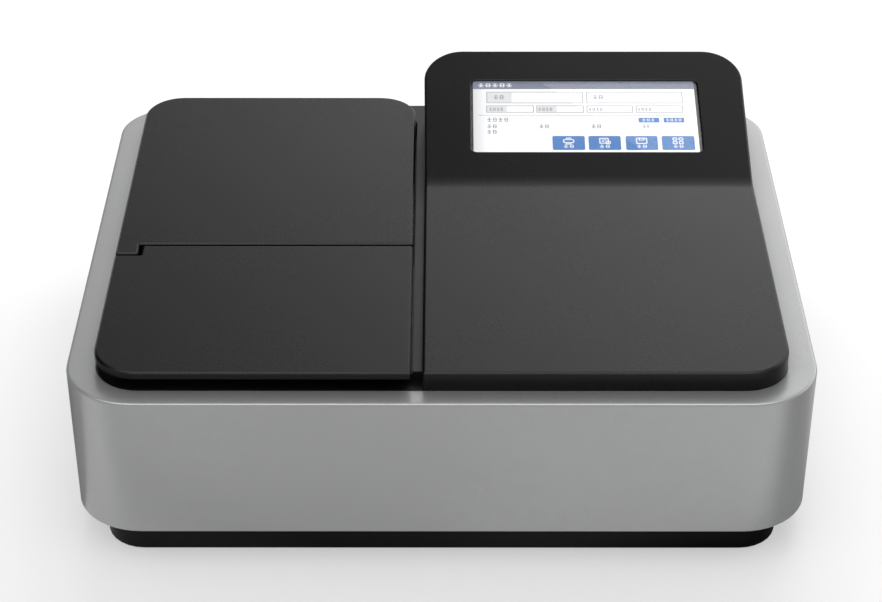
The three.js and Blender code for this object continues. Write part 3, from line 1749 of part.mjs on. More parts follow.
place("body_shell", bodyShell(), silverPaint);
place("base_tray", baseTray(), blackPlastic);
footPlaces.forEach((spot) => place(spot.name, foot(spot), rubber));
place("chassis_plate", chassisPlate(), steel);
place("top_tray", topTray(), blackPlastic);
place("rear_cover", rearCover(), coverPlastic);
place("console_cover", consoleCover(), coverPlastic);
displayPieces();
place("sample_lid", sampleLid(), coverPlastic);
place("lid_liner", lidLiner(), blackPlastic);
place("lid_gasket", lidGasket(), rubber);
lidFittings();
place("optical_bench", opticalBench(), castAluminium);
place("sample_chamber", sampleChamber(), blackAnodised);
place("cuvette_holder", cuvetteHolder(), blackAnodised);
const excitationGroup = monochromator(excitation);
beamShutter(excitationGroup);
monochromator(emission);
lamp();
detector();
place("main_board", mainBoard(), circuitGreen);
place("power_supply", powerSupply(), steel);
place("rear_panel", rearPanel(), steel);
place("mains_inlet", mainsInlet(), blackPlastic);
powerSwitch();
place("usb_port", usbPort(), nickel);
place("serial_port", serialPort(), nickel);
place("fan_frame", fanFrame(), blackPlastic);
place("fan_rotor", fanRotor(), blackPlastic);

export default instrument;
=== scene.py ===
"""Bench fluorescence spectrophotometer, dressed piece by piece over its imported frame."""
import math

import bmesh
import bpy
import numpy as np
from mathutils import Matrix, Vector


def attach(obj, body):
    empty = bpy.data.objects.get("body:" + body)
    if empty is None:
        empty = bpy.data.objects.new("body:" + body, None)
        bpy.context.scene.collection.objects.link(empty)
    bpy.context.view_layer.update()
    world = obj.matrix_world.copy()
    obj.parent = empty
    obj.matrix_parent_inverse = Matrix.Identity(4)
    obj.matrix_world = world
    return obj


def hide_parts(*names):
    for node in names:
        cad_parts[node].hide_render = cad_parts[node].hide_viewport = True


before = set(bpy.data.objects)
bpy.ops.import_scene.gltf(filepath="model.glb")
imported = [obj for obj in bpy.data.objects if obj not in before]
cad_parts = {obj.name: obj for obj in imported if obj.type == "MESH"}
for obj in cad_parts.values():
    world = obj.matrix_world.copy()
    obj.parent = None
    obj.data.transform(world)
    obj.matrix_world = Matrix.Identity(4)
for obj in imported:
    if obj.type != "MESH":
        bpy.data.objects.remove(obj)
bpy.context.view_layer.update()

# Studio: the photograph's camera, a plain pale bench top and soft lamps. The room is white to
# the camera and through glass. In a gloss it has tones: bright behind and to the right, dim to
# the left and overhead, which give the satin covers and painted walls their soft gradients.
camera = bpy.data.objects.new("camera", bpy.data.cameras.new("camera"))
bpy.context.collection.objects.link(camera)
camera.location = (0.00057, -1.39443, 0.97389)
camera.rotation_euler = (math.radians(57.212), 0, math.radians(0.046))
camera.data.lens = 96.17
camera.data.sensor_width = 36
camera.data.clip_end = 50
bpy.context.scene.camera = camera
bpy.context.scene.view_settings.view_transform = "Standard"


def feed(tree, node, inputs):
    """Sets a node's inputs, by name or number, each to a value or to another node's output."""
    for name, value in inputs.items():
        if isinstance(value, bpy.types.NodeSocket):
            tree.links.new(value, node.inputs[name])
        else:
            node.inputs[name].default_value = value
    return node


def add(tree, kind, inputs=(), **settings):
    """A new node of a kind, with its settings and then its inputs."""
    made = tree.nodes.new(f"ShaderNode{kind}")
    for name, value in settings.items():
        setattr(made, name, value)
    return feed(tree, made, dict(inputs))


def figure(tree, operation, *values):
    """A sum on two or three numbers or outputs."""
    return add(tree, "Math", enumerate(values), operation=operation).outputs[0]


def ranged(tree, value, start, end, low=0.0, high=1.0, kind="LINEAR"):
    """The value's share of the way from start to end, taken from low to high."""
    limits = {"From Min": start, "From Max": end, "To Min": low, "To Max": high}
    made = add(tree, "MapRange", {"Value": value, **limits}, interpolation_type=kind)
    return made.outputs["Result"]


def greys(tree, value, stops):
    """A grey that follows the value through the given (place, grey) stops."""
    ramp = add(tree, "ValToRGB", {"Fac": value})
    elements = ramp.color_ramp.elements
    for place, grey in stops[1:-1]:
        elements.new(place)
    for element, (place, grey) in zip(elements, stops):
        element.position, element.color = place, (grey, grey, grey, 1)
    return ramp.outputs["Color"]


studio = bpy.data.worlds.new("studio")
bpy.context.scene.world = studio
studio.use_nodes = True
sky = studio.node_tree
seen = add(sky, "LightPath").outputs
way = add(sky, "SeparateXYZ", {0: add(sky, "TexCoord").outputs["Generated"]}).outputs
by_height = greys(sky, way["Z"], (
    (0.0, 0.28), (0.2, 0.36), (0.44, 1.0), (0.52, 0.81), (0.55, 0.69), (0.573, 0.34), (0.65, 0.3),
    (0.8, 0.22),
))
by_side = greys(sky, figure(sky, "MULTIPLY_ADD", way["X"], 0.5, 0.5), (
    (0.25, 0.006), (0.33, 0.08), (0.43, 0.261), (0.5, 0.55), (0.57, 0.84), (0.65, 1.0),
))
rear_strength, front_low, front_high = 4.5, 0.7, 5.5
behind = figure(sky, "MULTIPLY", figure(sky, "MULTIPLY", by_height, by_side), rear_strength)
room = add(sky, "Mix", {
    "Factor": ranged(sky, way["Y"], 0.2, -0.2, kind="SMOOTHSTEP"),
    "A": behind,
    "B": ranged(sky, way["Z"], 0.6, 0.8, front_low, front_high),
})
clear = figure(sky, "ADD", seen["Is Camera Ray"], seen["Is Transmission Ray"])
lighting = 0.75
backdrop = add(sky, "Mix", {
    "Factor": seen["Is Glossy Ray"],
    "A": figure(sky, "MULTIPLY_ADD", clear, 1 - lighting, lighting),
    "B": room.outputs["Result"],
})
feed(sky, sky.nodes["Background"], {"Color": (1, 1, 1, 1), "Strength": backdrop.outputs["Result"]})


def softbox(name, place, aim, width, depth, radiance, turn=0):
    """A soft lamp of a given radiance at a place, facing the aim and turned about its axis."""
    lamp = bpy.data.lights.new(name, "AREA")
    lamp.shape = "RECTANGLE"
    lamp.size, lamp.size_y, lamp.energy = width, depth, math.pi * width * depth * radiance
    rig = bpy.data.objects.new(name, lamp)
    bpy.context.collection.objects.link(rig)
    facing = (Vector(aim) - Vector(place)).to_track_quat("-Z", "Y").to_matrix().to_4x4()
    rig.matrix_world = Matrix.Translation(place) @ facing @ Matrix.Rotation(turn, 4, "Z")
    return rig


softbox("front_lamp", (-0.1, -1.0, 1.6), (0, 0, 0.1), 1.4, 0.6, 0.2)
rear_lamp = softbox("rear_lamp", (0.15, 0.95, 1.25), (0, 0, 0.1), 1.4, 0.7, 3.8)
rear_lamp.visible_glossy = rear_lamp.visible_transmission = False
glare_turn = math.radians(-37.6)
softbox("right_lamp", (0.385, 0.95, 1.25), (0.385, 0.9501, 0), 0.9, 0.6, 0.85, glare_turn)

# Bench top: matt white paper. Round the object it keeps the shadow and grows clearer with
# distance. Its colour carries painted light and shade: lighter just in front of the object,
# where its shadow falls, and darker towards the front. In the walls' gloss it shows a painted
# reflection of pale and dark cards that are not in the scene, set out by their bearing from a
# point in front of the middle.
floor = bpy.data.objects.new("floor", bpy.data.meshes.new("floor"))
reach = 9
rim = [(-reach, -reach, 0), (reach, -reach, 0), (reach, reach, 0), (-reach, reach, 0)]
floor.data.from_pydata(rim, [], [(0, 1, 2, 3)])
bpy.context.collection.objects.link(floor)
paper = bpy.data.materials.new("bench_top")
paper.use_nodes = True
tree = paper.node_tree
ray = add(tree, "LightPath").outputs
spot = add(tree, "TexCoord").outputs["Object"]
# Painted light and shade in the paper's colour: lightest just in front of the object, where its
# shadow falls, and darker towards the front.
front_to_back = ranged(tree, add(tree, "SeparateXYZ", {0: spot}).outputs["Y"], -0.75, 0.5)
painted_floor_shading = greys(tree, front_to_back, ((0.0, 0.86), (0.41, 0.98), (1.0, 0.94)))
# Painted reflection: to glossy rays the paper's colour is multiplied by these bands and glows with
# them, as if pale and dark cards stood round it.
painted_reflection_middle_y, painted_reflection_glow = -0.149, 0.66
centred = add(tree, "VectorMath", {0: spot, 1: (0, -painted_reflection_middle_y, 0)}).outputs[0]
bearing = add(tree, "TexGradient", {"Vector": centred}, gradient_type="RADIAL").outputs["Fac"]
painted_reflection = greys(tree, bearing, (
    (0.0, 0.6), (0.04, 1.0), (0.078, 0.6), (0.111, 0.74), (0.25, 0.82), (0.33, 0.95),
    (0.389, 1.0), (0.437, 1.0), (0.458, 0.45), (0.47, 0.12), (0.51, 0.12), (0.55, 0.4),
    (0.9, 0.4), (0.945, 0.02), (0.98, 0.1),
))
mirrored = add(
    tree, "Mix", {"Factor": ray["Is Glossy Ray"], "A": painted_floor_shading, "B": painted_reflection},
    data_type="RGBA", blend_type="MULTIPLY",
)
matt = feed(tree, tree.nodes["Principled BSDF"], {
    "Base Color": mirrored.outputs["Result"],
    "Roughness": 0.9,
    "Emission Color": painted_reflection,
    "Emission Strength": figure(tree, "MULTIPLY", ray["Is Glossy Ray"], painted_reflection_glow),
})
distance = add(tree, "VectorMath", {0: spot}, operation="LENGTH").outputs["Value"]
shadow_reach, all_white, least_white = 1.0, 2.6, 0.4
clearer = ranged(tree, distance, shadow_reach, all_white, least_white)
blend = add(tree, "MixShader", {
    "Fac": figure(tree, "MULTIPLY", ray["Is Camera Ray"], clearer),
    1: matt.outputs["BSDF"],
    2: add(tree, "Emission").outputs["Emission"],
})
feed(tree, tree.nodes["Material Output"], {"Surface": blend.outputs["Shader"]})
floor.data.materials.append(paper)

# Plinth and feet: a black moulded tray with vent slots, standing on four rubber pads that
# are pressed into its bosses. Its grained plastic is the first of the moulded finishes.
MM = 0.001


def socket(group, name, kind, value=None, out=False):
    """A named input or output of a shader group."""
    way = "OUTPUT" if out else "INPUT"
    made = group.interface.new_socket(name=name, in_out=way, socket_type=f"NodeSocket{kind}")
    if value is not None:
        made.default_value = value


def grain_group():
    """Moulded or painted surface. Fine noise gives the height, a slow noise drifts between the
    two colours, and the roughness drifts with it between its two values."""
    group = bpy.data.node_groups.new("surface_grain", "ShaderNodeTree")
    socket(group, "Colour", "Color", (0.5, 0.5, 0.5, 1))
    socket(group, "Second Colour", "Color", (0.4, 0.4, 0.4, 1))
    socket(group, "Grain Scale", "Float", 2500)
    socket(group, "Drift Scale", "Float", 9)
    socket(group, "Low Roughness", "Float", 0.4)
    socket(group, "High Roughness", "Float", 0.5)
    socket(group, "Colour", "Color", out=True)
    socket(group, "Roughness", "Float", out=True)
    socket(group, "Height", "Float", out=True)
    given = group.nodes.new("NodeGroupInput").outputs
    place = add(group, "TexCoord").outputs["Object"]
    grain = {"Vector": place, "Scale": given["Grain Scale"], "Detail": 3}
    patch = {"Vector": place, "Scale": given["Drift Scale"], "Detail": 4}
    fine, slow = (add(group, "TexNoise", noise).outputs["Fac"] for noise in (grain, patch))
    drift = ranged(group, figure(group, "MULTIPLY_ADD", fine, 0.35, slow), 0.42, 0.92)
    colours = {"Factor": drift, "A": given["Colour"], "B": given["Second Colour"]}
    feed(group, group.nodes.new("NodeGroupOutput"), {
        "Colour": add(group, "Mix", colours, data_type="RGBA").outputs["Result"],
        "Roughness": ranged(group, drift, 0, 1, given["Low Roughness"], given["High Roughness"]),
        "Height": fine,
    })
    return group


surface_grain = grain_group()


def finish(name, colours, roughness, grain, bump, drift=9, **fixed):
    """A material with surface grain: two colours, two roughnesses and a bump of the grain. What
    is the same all over is set on the shader itself."""
    made = bpy.data.materials.new(name)
    made.use_nodes = True
    tree = made.node_tree
    surface = add(tree, "Group", node_tree=surface_grain)
    feed(tree, surface, {
        "Colour": (*colours[0], 1), "Second Colour": (*colours[1], 1),
        "Low Roughness": roughness[0], "High Roughness": roughness[1],
        "Grain Scale": grain, "Drift Scale": drift,
    })
    grain_depth = 0.0002
    relief = {"Strength": bump, "Distance": grain_depth, "Height": surface.outputs["Height"]}
    feed(tree, tree.nodes["Principled BSDF"], {
        "Base Color": surface.outputs["Colour"],
        "Roughness": surface.outputs["Roughness"],
        "Normal": add(tree, "Bump", relief).outputs["Normal"],
        **{entry.replace("_", " "): value for entry, value in fixed.items()},
    })
    return made


def settle(made, name, material, body, stands_for):
    """Shades a new mesh smooth but for its edges, and hangs it on its body."""
    sharp = math.radians(32)
    made.polygons.foreach_set("use_smooth", np.ones(len(made.polygons), bool))
    made.set_sharp_from_angle(angle=sharp)
    made.materials.clear()
    made.materials.append(material)
    shown = bpy.data.objects.new(name, made)
    bpy.context.collection.objects.link(shown)
    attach(shown, body)
    if stands_for:
        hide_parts(*stands_for)
    return shown


def recut(node, material, body="housing", edge=0.0):
    """The node's own solid as one welded mesh, so that its round corners shade round. Its flat
    faces are made whole, and with an edge in millimetres its sharp edges are rounded off."""
    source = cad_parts[node].data
    points = np.empty(len(source.vertices) * 3, np.float32)
    source.vertices.foreach_get("co", points)
    microns = np.round(points.reshape(-1, 3) * 1e6).astype(np.int64)
    keys, index = np.unique(microns, axis=0, return_inverse=True)
    corners = np.empty(len(source.loops), np.int32)
    source.loops.foreach_get("vertex_index", corners)
    faces = index.reshape(-1)[corners].reshape(-1, 3)
    whole = (faces != np.roll(faces, 1, axis=1)).all(axis=1)
    made = bpy.data.meshes.new(f"{node}_cut")
    made.from_pydata((keys / 1e6).tolist(), [], faces[whole].tolist())
    made.update()
    flat = bmesh.new()
    flat.from_mesh(made)
    nearly_flat = math.radians(0.5)
    bmesh.ops.dissolve_limit(flat, angle_limit=nearly_flat, verts=flat.verts, edges=flat.edges)
    flat.to_mesh(made)
    flat.free()
    shown = settle(made, f"{node}_cut", material, body, [node])
    if edge > 0:
        rounded = shown.modifiers.new("edges", "BEVEL")
        rounded.width, rounded.segments, rounded.limit_method = edge * MM, 2, "ANGLE"
        rounded.angle_limit, rounded.harden_normals = math.radians(40), True
    return shown


def coat(nodes, material):
    """Gives the frame's own solids a finish."""
    for node in nodes:
        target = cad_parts[node]
        if target.material_slots:
            for entry in target.material_slots:
                entry.link = "OBJECT"
                entry.material = material
        else:
            target.data.materials.append(material)


black_plastic = finish(
    "plinth_plastic", ((0.0012, 0.0012, 0.0013), (0.002, 0.002, 0.0021)), (0.4, 0.5),
    grain=1800, bump=0.25, Specular_IOR_Level=0.08,
)
rubber = finish(
    "foot_rubber", ((0.010, 0.010, 0.010), (0.018, 0.018, 0.017)), (0.8, 0.92),
    grain=1400, bump=0.5,
)
recut("base_tray", black_plastic, edge=0.3)
for corner in ("front_left", "front_right", "rear_left", "rear_right"):
    recut(f"foot_{corner}", rubber, edge=0.4)

# Inner works on the chassis plate: cast bench and lamp housing, anodised monochromator cases
# and detector housing held by socket screws, stepping motors, gratings, lenses, boards and
# power supply, each in its own metal.
steel = finish(
    "zinc_steel", ((0.42, 0.43, 0.44), (0.52, 0.53, 0.54)), (0.28, 0.42),
    grain=900, bump=0.2, drift=14, Metallic=1.0,
)
cast = finish(
    "cast_aluminium", ((0.26, 0.27, 0.28), (0.36, 0.37, 0.38)), (0.45, 0.6),
    grain=700, bump=0.6, drift=12, Metallic=0.9,
)
anodised = finish(
    "black_anodising", ((0.012, 0.012, 0.013), (0.02, 0.02, 0.022)), (0.38, 0.5),
    grain=3000, bump=0.12, Metallic=0.35,
)
brass = finish(
    "brass", ((0.52, 0.38, 0.13), (0.6, 0.45, 0.17)), (0.22, 0.36),
    grain=1200, bump=0.15, Metallic=1.0,
)
nickel = finish(
    "nickel", ((0.56, 0.55, 0.52), (0.64, 0.63, 0.6)), (0.15, 0.26),
    grain=2000, bump=0.08, Metallic=1.0,
)
mirror = finish(
    "mirror_coating", ((0.86, 0.87, 0.88), (0.9, 0.91, 0.92)), (0.02, 0.05),
    grain=400, bump=0.01, Metallic=1.0,
)
optic = finish(
    "lens_glass", ((0.96, 0.98, 1.0), (0.98, 0.99, 1.0)), (0.0, 0.02),
    grain=300, bump=0.01, Transmission_Weight=1.0, IOR=1.46,
)
green = ((0.008, 0.07, 0.028), (0.012, 0.1, 0.04))
lacquer = {"colours": green, "roughness": (0.3, 0.45), "grain": 500, "bump": 0.3, "drift": 60}
board = finish("board_lacquer", **lacquer)
board_and_parts = finish("board_and_parts", **lacquer)
tree = board_and_parts.node_tree
board_top = 0.0359
level = add(tree, "SeparateXYZ", {0: add(tree, "TexCoord").outputs["Object"]}).outputs["Z"]
black_above = {
    "Factor": figure(tree, "GREATER_THAN", level, board_top),
    "A": tree.nodes["Group"].outputs["Colour"],
    "B": (0.014, 0.014, 0.015, 1),
}
resin = add(tree, "Mix", black_above, data_type="RGBA")
feed(tree, tree.nodes["Principled BSDF"], {"Base Color": resin.outputs["Result"]})
coat(["chassis_plate", "power_supply", "shutter_solenoid"], steel)
coat(["optical_bench", "lamp_housing"], cast)
coat(["detector_housing", "excitation_case", "emission_case", "shutter_blade"], anodised)
coat(["display_board"], board)
coat(["main_board"], board_and_parts)
coat(["xenon_lamp", "photomultiplier_tube"], optic)
coat(["lamp_reflector"], mirror)
for unit in ("excitation", "emission"):
    coat([f"{unit}_lens_barrel"], anodised)
    coat([f"{unit}_motor"], steel)
    coat([f"{unit}_pinion", f"{unit}_turntable"], brass)
    coat([f"{unit}_grating", f"{unit}_mirror"], mirror)
    coat([f"{unit}_lens"], optic)


def skin(rings, closed=False, caps=True):
    """Vertices and faces of rings joined one to the next: a face is two neighbours on a ring and
    the same two on the next ring. The ends are closed by a cap each, or joined together."""
    rings = np.asarray(rings)
    count, size = rings.shape[:2]
    k = np.arange(count if closed else count - 1)[:, None] * size
    i = np.arange(size)[None]
    a, b = k + i, k + (i + 1) % size
    c, d = (b + size) % (count * size), (a + size) % (count * size)
    faces = np.stack([a, b, c, d], -1).reshape(-1, 4).tolist()
    if caps and not closed:
        faces += [list(range(size))[::-1], list(range((count - 1) * size, count * size))]
    return rings.reshape(-1, 3), faces


def piece(name, parts, material, body="housing", stands_for=()):
    """One object from one or more (vertices, faces) shells in millimetres."""
    points, faces, base = [], [], 0
    for vertices, polygons in parts:
        points.append(np.asarray(vertices))
        faces += [[v + base for v in face] for face in polygons]
        base += len(vertices)
    made = bpy.data.meshes.new(name)
    made.from_pydata((np.concatenate(points) * MM).tolist(), [], faces)
    made.update()
    return settle(made, name, material, body, stands_for)


def turned(place, axis, rows):
    """A small fastener that stands out along an axis from its place on a face. Each row is a
    ring: its radius times the cosine and sine on the next two axes, at its distance out. A
    hexagon's radius is that of its flats over the cosine of the angle from a flat's middle."""
    turn = np.linspace(0, 2 * math.pi, 24, endpoint=False)
    flat = 1 / np.cos(np.mod(turn + math.pi / 6, math.pi / 3) - math.pi / 6)
    rings = []
    for shape, radius, out in rows:
        r = radius * (flat if shape == "hex" else np.ones(24))
        around = np.zeros((24, 3))
        around[:, axis] = out
        around[:, (axis + 1) % 3] = r * np.cos(turn)
        around[:, (axis + 2) % 3] = r * np.sin(turn)
        rings.append(np.asarray(place, float) + around)
    return skin(rings)


screw = (
    ("round", 2.7, 0.02), ("round", 2.75, 0.6), ("round", 2.5, 1.1), ("round", 2.0, 1.45),
    ("round", 1.5, 1.6), ("hex", 1.2, 1.58), ("hex", 1.15, 0.7),
)
case_top, lamp_housing_top, detector_housing_top = 108, 110, 112
screws = [(x, y, case_top) for x in (-201, -138, -75) for y in (-38, 73)]
screws += [(x, y, case_top) for x in (-40, 71) for y in (-150, -87, -24)]
screws += [(x, y, lamp_housing_top) for x in (-208, -172) for y in (86.3, 142.3)]
screws += [(x, y, detector_housing_top) for x in (84.3, 132.3) for y in (-53, -17)]
piece("case_screws", [turned(place, 2, screw) for place in screws], nickel)

# Sample well: a black anodised box under the lid, open to the top, with a light port on two
# sides; the cuvette holder is a milled block screwed to its floor.
recut("sample_chamber", anodised, edge=0.3)
recut("cuvette_holder", anodised, edge=0.3)

# Body shell: one silver painted casting with drafted walls, a rounded deck edge and a step
# that the black tray lies in. It is closed by a lip on the chassis plate.
STEPS = 12


def loop(corners, inset=0.0, along=()):
    """Points round a closed path with round corners. Each corner moves inwards by the inset and
    its arc shrinks by as much: a point is the arc's centre plus the radius times the direction
    that turns evenly from one side's normal to the next. Extra points may stand along a side,
    given as (corner after which they come, axis, values)."""
    corners = np.asarray(corners, float)
    spot, radius = corners[:, :2], corners[:, 2]
    before = spot - np.roll(spot, 1, axis=0)
    before /= np.linalg.norm(before, axis=1)[:, None]
    after = np.roll(before, -1, axis=0)
    n1 = np.c_[before[:, 1], -before[:, 0]]
    n2 = np.c_[after[:, 1], -after[:, 0]]
    bisector = (n1 + n2) / (1 + (n1 * n2).sum(1))[:, None]
    across = before[:, 0] * after[:, 1] - before[:, 1] * after[:, 0]
    turn = np.arctan2(across, (before * after).sum(1))
    side = np.sign(turn)[:, None]
    r = np.maximum(radius - side[:, 0] * inset, 0.15)[:, None]
    centre = spot - inset * bisector - side * r * bisector
    start = np.arctan2(n1[:, 1], n1[:, 0])
    angle = start[:, None] + turn[:, None] * np.linspace(0, 1, STEPS + 1)
    arcs = centre[:, None] + (side * r)[:, None] * np.stack([np.cos(angle), np.sin(angle)], -1)
    parts = list(arcs)
    for corner, axis, values in along:
        extra = np.repeat(parts[corner][-1:], len(values), axis=0)
        extra[:, axis] = values
        parts[corner] = np.concatenate([parts[corner], extra])
    return np.concatenate(parts)


def box_corners(left, right, front, rear, *radii):
    """Corner points and radii of a rectangle, anticlockwise from the front left. One radius
    serves all four corners."""
    spots = ((left, front), (right, front), (right, rear), (left, rear))
    return [(*spot, radius) for spot, radius in zip(spots, radii * 4)]


def lift(ring, z):
    """A flat ring at a height, or at one height for each point."""
    return np.c_[ring, np.broadcast_to(z, len(ring))]


def chamfer(width, z, soft=0.3):
    """Insets and heights of a bevel at 45 degrees below z: each of its two corners is softened
    by a curve of three points, with a row close on the flat side of each."""
    s, h, margin = soft, 0.7 * soft, 0.3
    return [
        (0, z - width - s - margin), (0, z - width - s), (0.18 * h, z - width - 0.08 * s),
        (h, z - width + h), (width - h, z - h), (width - 0.08 * s, z - 0.18 * h), (width + s, z),
        (width + s + margin, z),
    ]


def soft_edge(radius, z, steps=5):
    """Insets and heights of a quarter-round edge below z: radius times one less the cosine
    inwards, and radius times one less the sine down, with a row close on either side."""
    turn, margin = np.linspace(0, math.pi / 2, steps + 1), 0.5
    rows = np.c_[radius * (1 - np.cos(turn)), z - radius * (1 - np.sin(turn))]
    return np.vstack([[0, z - radius - margin], rows, [radius + margin, z]])


LEFT, RIGHT, COVER_FRONT, COVER_REAR = -221, 221, -180, 188
FRONT_ROUND, REAR_ROUND = 30, 27.5
body_box = box_corners(-240, 240, -195, 195, 46, 46, 37, 37)
opening = box_corners(
    LEFT, RIGHT, COVER_FRONT, COVER_REAR, FRONT_ROUND, FRONT_ROUND, REAR_ROUND, REAR_ROUND
)
shell_foot, shell_wall, draft_run = 23.5, 4, 98.6
deck, under_deck, deck_round = 124.5, 121.5, 1.8
step_top, step_under, step_width = 121.45, 118.45, 6.5
lip_low, lip_high, lip_width = 26.25, 29.25, 12
window_x, window_z = (190, 20), (40, 105)
stations = [(2, 0, window_x)]
draft = lambda z: 1 - (z - shell_foot) / draft_run
outer_wall = [(draft(z), z) for z in (shell_foot, shell_foot + 0.6, *window_z)]
outer_wall += [tuple(row) for row in soft_edge(deck_round, deck)]
deck_opening = (
    (-0.6, deck), (0, deck - 0.1), (0.5, deck - 0.5), (0.5, step_top), (step_width, step_top),
    (step_width, step_under), (-2.5, step_under), (-2.5, under_deck),
)
inner_wall = (
    (shell_wall, under_deck), (shell_wall, window_z[1]), (shell_wall, window_z[0]),
    (shell_wall, lip_high), (lip_width, lip_high), (lip_width, lip_low), (shell_wall, lip_low),
    (shell_wall, shell_foot),
)
shell = [
    lift(loop(corners, inset, stations), z)
    for corners, rows in ((body_box, outer_wall), (opening, deck_opening), (body_box, inner_wall))
    for inset, z in rows
]
points, faces = skin(shell, closed=True)
size = len(shell[0])
pane = 3 * (STEPS + 1)
low_out = 2 * size + pane
high_in = (len(outer_wall) + len(deck_opening) + 1) * size + pane
high_out, low_in = low_out + size, high_in + size
faces = [face for number, face in enumerate(faces) if number not in (low_out, high_in)]
faces += [
    [low_out, low_out + 1, low_in + 1, low_in],
    [high_out + 1, high_out, high_in, high_in + 1],
    [low_out, low_in, high_in, high_out],
    [low_in + 1, low_out + 1, high_out + 1, high_in + 1],
]
silver = finish(
    "silver_paint", ((0.292, 0.294, 0.297), (0.308, 0.31, 0.313)), (0.255, 0.285),
    grain=5200, bump=0.08, drift=5, Metallic=0.22,
)
piece("body_paintwork", [(points, faces)], silver, stands_for=["body_shell"])

# Rear fittings: a zinc plated panel behind the window in the rear wall carries the mains
# inlet, power rocker, data socket, serial connector and fan. Socket screws hold the panel, and
# hexagon posts the serial connector. The rocker's halves are marked I and O.
for node, material, slot, body in (
    ("rear_panel", steel, "steel", "housing"),
    ("mains_inlet", black_plastic, "black_plastic", "housing"),
    ("switch_frame", black_plastic, "black_plastic", "housing"),
    ("power_rocker", black_plastic, "black_plastic", "rocker"),
    ("usb_port", nickel, "nickel", "housing"),
    ("serial_port", nickel, "nickel", "housing"),
    ("fan_frame", black_plastic, "black_plastic", "housing"),
    ("fan_rotor", black_plastic, "black_plastic", "fan"),
):
    recut(node, material, body, edge=0.25)
post = (
    ("hex", 2.3, 0.02), ("hex", 2.3, 3.6), ("round", 2.1, 3.8), ("round", 1.3, 3.8),
    ("round", 1.2, 0.8),
)
panel_face, post_height = 190.75, 58
fasteners = [turned((x, panel_face, z), 1, screw) for x in (25, 122, 185) for z in (45, 100)]
fasteners += [turned((x, panel_face, post_height), 1, post) for x in (91.5, 116.5)]
piece("rear_fasteners", fasteners, nickel)

ROCKER_X, CROWN_Y, CROWN_Z = 76, 193.711, 71.443
HALVES = (((-0.0336, 0.9994), (0.9994, 0.0336)), ((-0.3078, -0.9515), (0.9515, -0.3078)))


def on_rocker(ring, lift_off, half):
    """Points on one half of the rocker's face: x across, u along the face from its crown, and a
    distance off it. Each half has its own direction along the face and off it."""
    x, u = np.asarray(ring).T
    (dy, dz), (ny, nz) = HALVES[half]
    return np.c_[x, CROWN_Y + u * dy + lift_off * ny, CROWN_Z + u * dz + lift_off * nz]


paint_low, paint_high, ring_u = 0.01, 0.07, 4.2
stroke = loop(box_corners(ROCKER_X - 0.4, ROCKER_X + 0.4, 2.6, 5.8, 0.2))
far, near = (
    loop(box_corners(ROCKER_X - r, ROCKER_X + r, ring_u - r, ring_u + r, r)) for r in (1.7, 1.1)
)
rings = ((far, paint_low), (far, paint_high), (near, paint_high), (near, paint_low))
marks = [
    skin([on_rocker(stroke, off, 0) for off in (paint_low, paint_high)]),
    skin([on_rocker(ring, off, 1) for ring, off in rings], closed=True),
]
mark_white = finish(
    "mark_paint", ((0.72, 0.72, 0.71), (0.78, 0.78, 0.77)), (0.5, 0.6), grain=2000, bump=0.05
)
piece("rocker_marks", marks, mark_white, "rocker")

# Black tray in the deck: finger ledge, raised collar round the well and the rib in the
# channel between the covers, moulded in one.
tray_plastic = finish(
    "tray_plastic", ((0.002, 0.002, 0.002), (0.003, 0.003, 0.003)), (0.34, 0.42),
    grain=2200, bump=0.22, Specular_IOR_Level=0.22,
)
recut("top_tray", tray_plastic, edge=0.5)

# Lamp cover: the fixed rear left cover, moulded in dark grey satin plastic, with a tab that
# runs forward beside the lid's hinge.
cover_plastic = finish(
    "cover_plastic", ((0.003, 0.003, 0.0031), (0.0042, 0.0042, 0.0043)), (0.24, 0.3),
    grain=1300, bump=0.5, drift=7, Specular_IOR_Level=0.14,
)
TOP, BASE, WALL, EDGE, SHARP = 138.15, 124.75, 3, 1.4, 1.6
CHANNEL = -19.3


def offset(faces, by):
    """Faces whose points are numbered on from a place in a longer list."""
    return [[v + by for v in face] for face in faces]


def bowl(corners, base, top, wall, edge=EDGE):
    """A shallow cover open below: its outline up to a bevelled edge and a flat top, and the same
    moved in by the wall, joined round the rim."""
    rows = [(0, base), *chamfer(edge, top)]
    outer, faces = skin([lift(loop(corners, inset), z) for inset, z in rows], caps=False)
    inside = [lift(loop(corners, wall), z) for z in (top - wall, base)]
    inner, inner_faces = skin(inside, caps=False)
    size, start = len(outer) // len(rows), len(outer)
    faces += offset(inner_faces, start)
    faces.append(list(range(start - size, start)))
    faces.append(list(range(start, start + size))[::-1])
    rim = np.arange(size)
    nxt = (rim + 1) % size
    faces += np.stack([start + size + rim, start + size + nxt, nxt, rim], -1).tolist()
    return np.vstack([outer, inner]), faces


tab_front, tab_side, seam = -36.9, -205.7, -24.4
lamp_cover = [
    (LEFT, tab_front, SHARP), (tab_side, tab_front, SHARP), (tab_side, seam, 0.8),
    (CHANNEL, seam, SHARP), (CHANNEL, COVER_REAR, REAR_ROUND), (LEFT, COVER_REAR, REAR_ROUND),
]
lamp_shell = bowl(lamp_cover, BASE, TOP, WALL)
piece("lamp_cover", [lamp_shell], cover_plastic, stands_for=["rear_cover"])

# Sample lid: a plate of the same plastic on two hidden hinges, with a light trap, a gasket,
# two bumpers and a magnet that meets a catch plate on the collar.
HINGE_Y, HINGE_Z, LID_UNDER = -32, 132.75, 132.75
lid_rear, notch_side, notch_front = -26.8, -203.3, -39.3
right_pocket, left_pocket = (-39.5, -39.7, -48.3, -48.5), (-179.5, -179.7, -188.3, -188.5)
lid_corners = [
    (LEFT, COVER_FRONT, FRONT_ROUND), (CHANNEL, COVER_FRONT, SHARP), (CHANNEL, lid_rear, SHARP),
    (notch_side, lid_rear, 0.6), (notch_side, notch_front, 0.6), (LEFT, notch_front, 1.2),
]
lid_along = [(2, 0, right_pocket + left_pocket)]


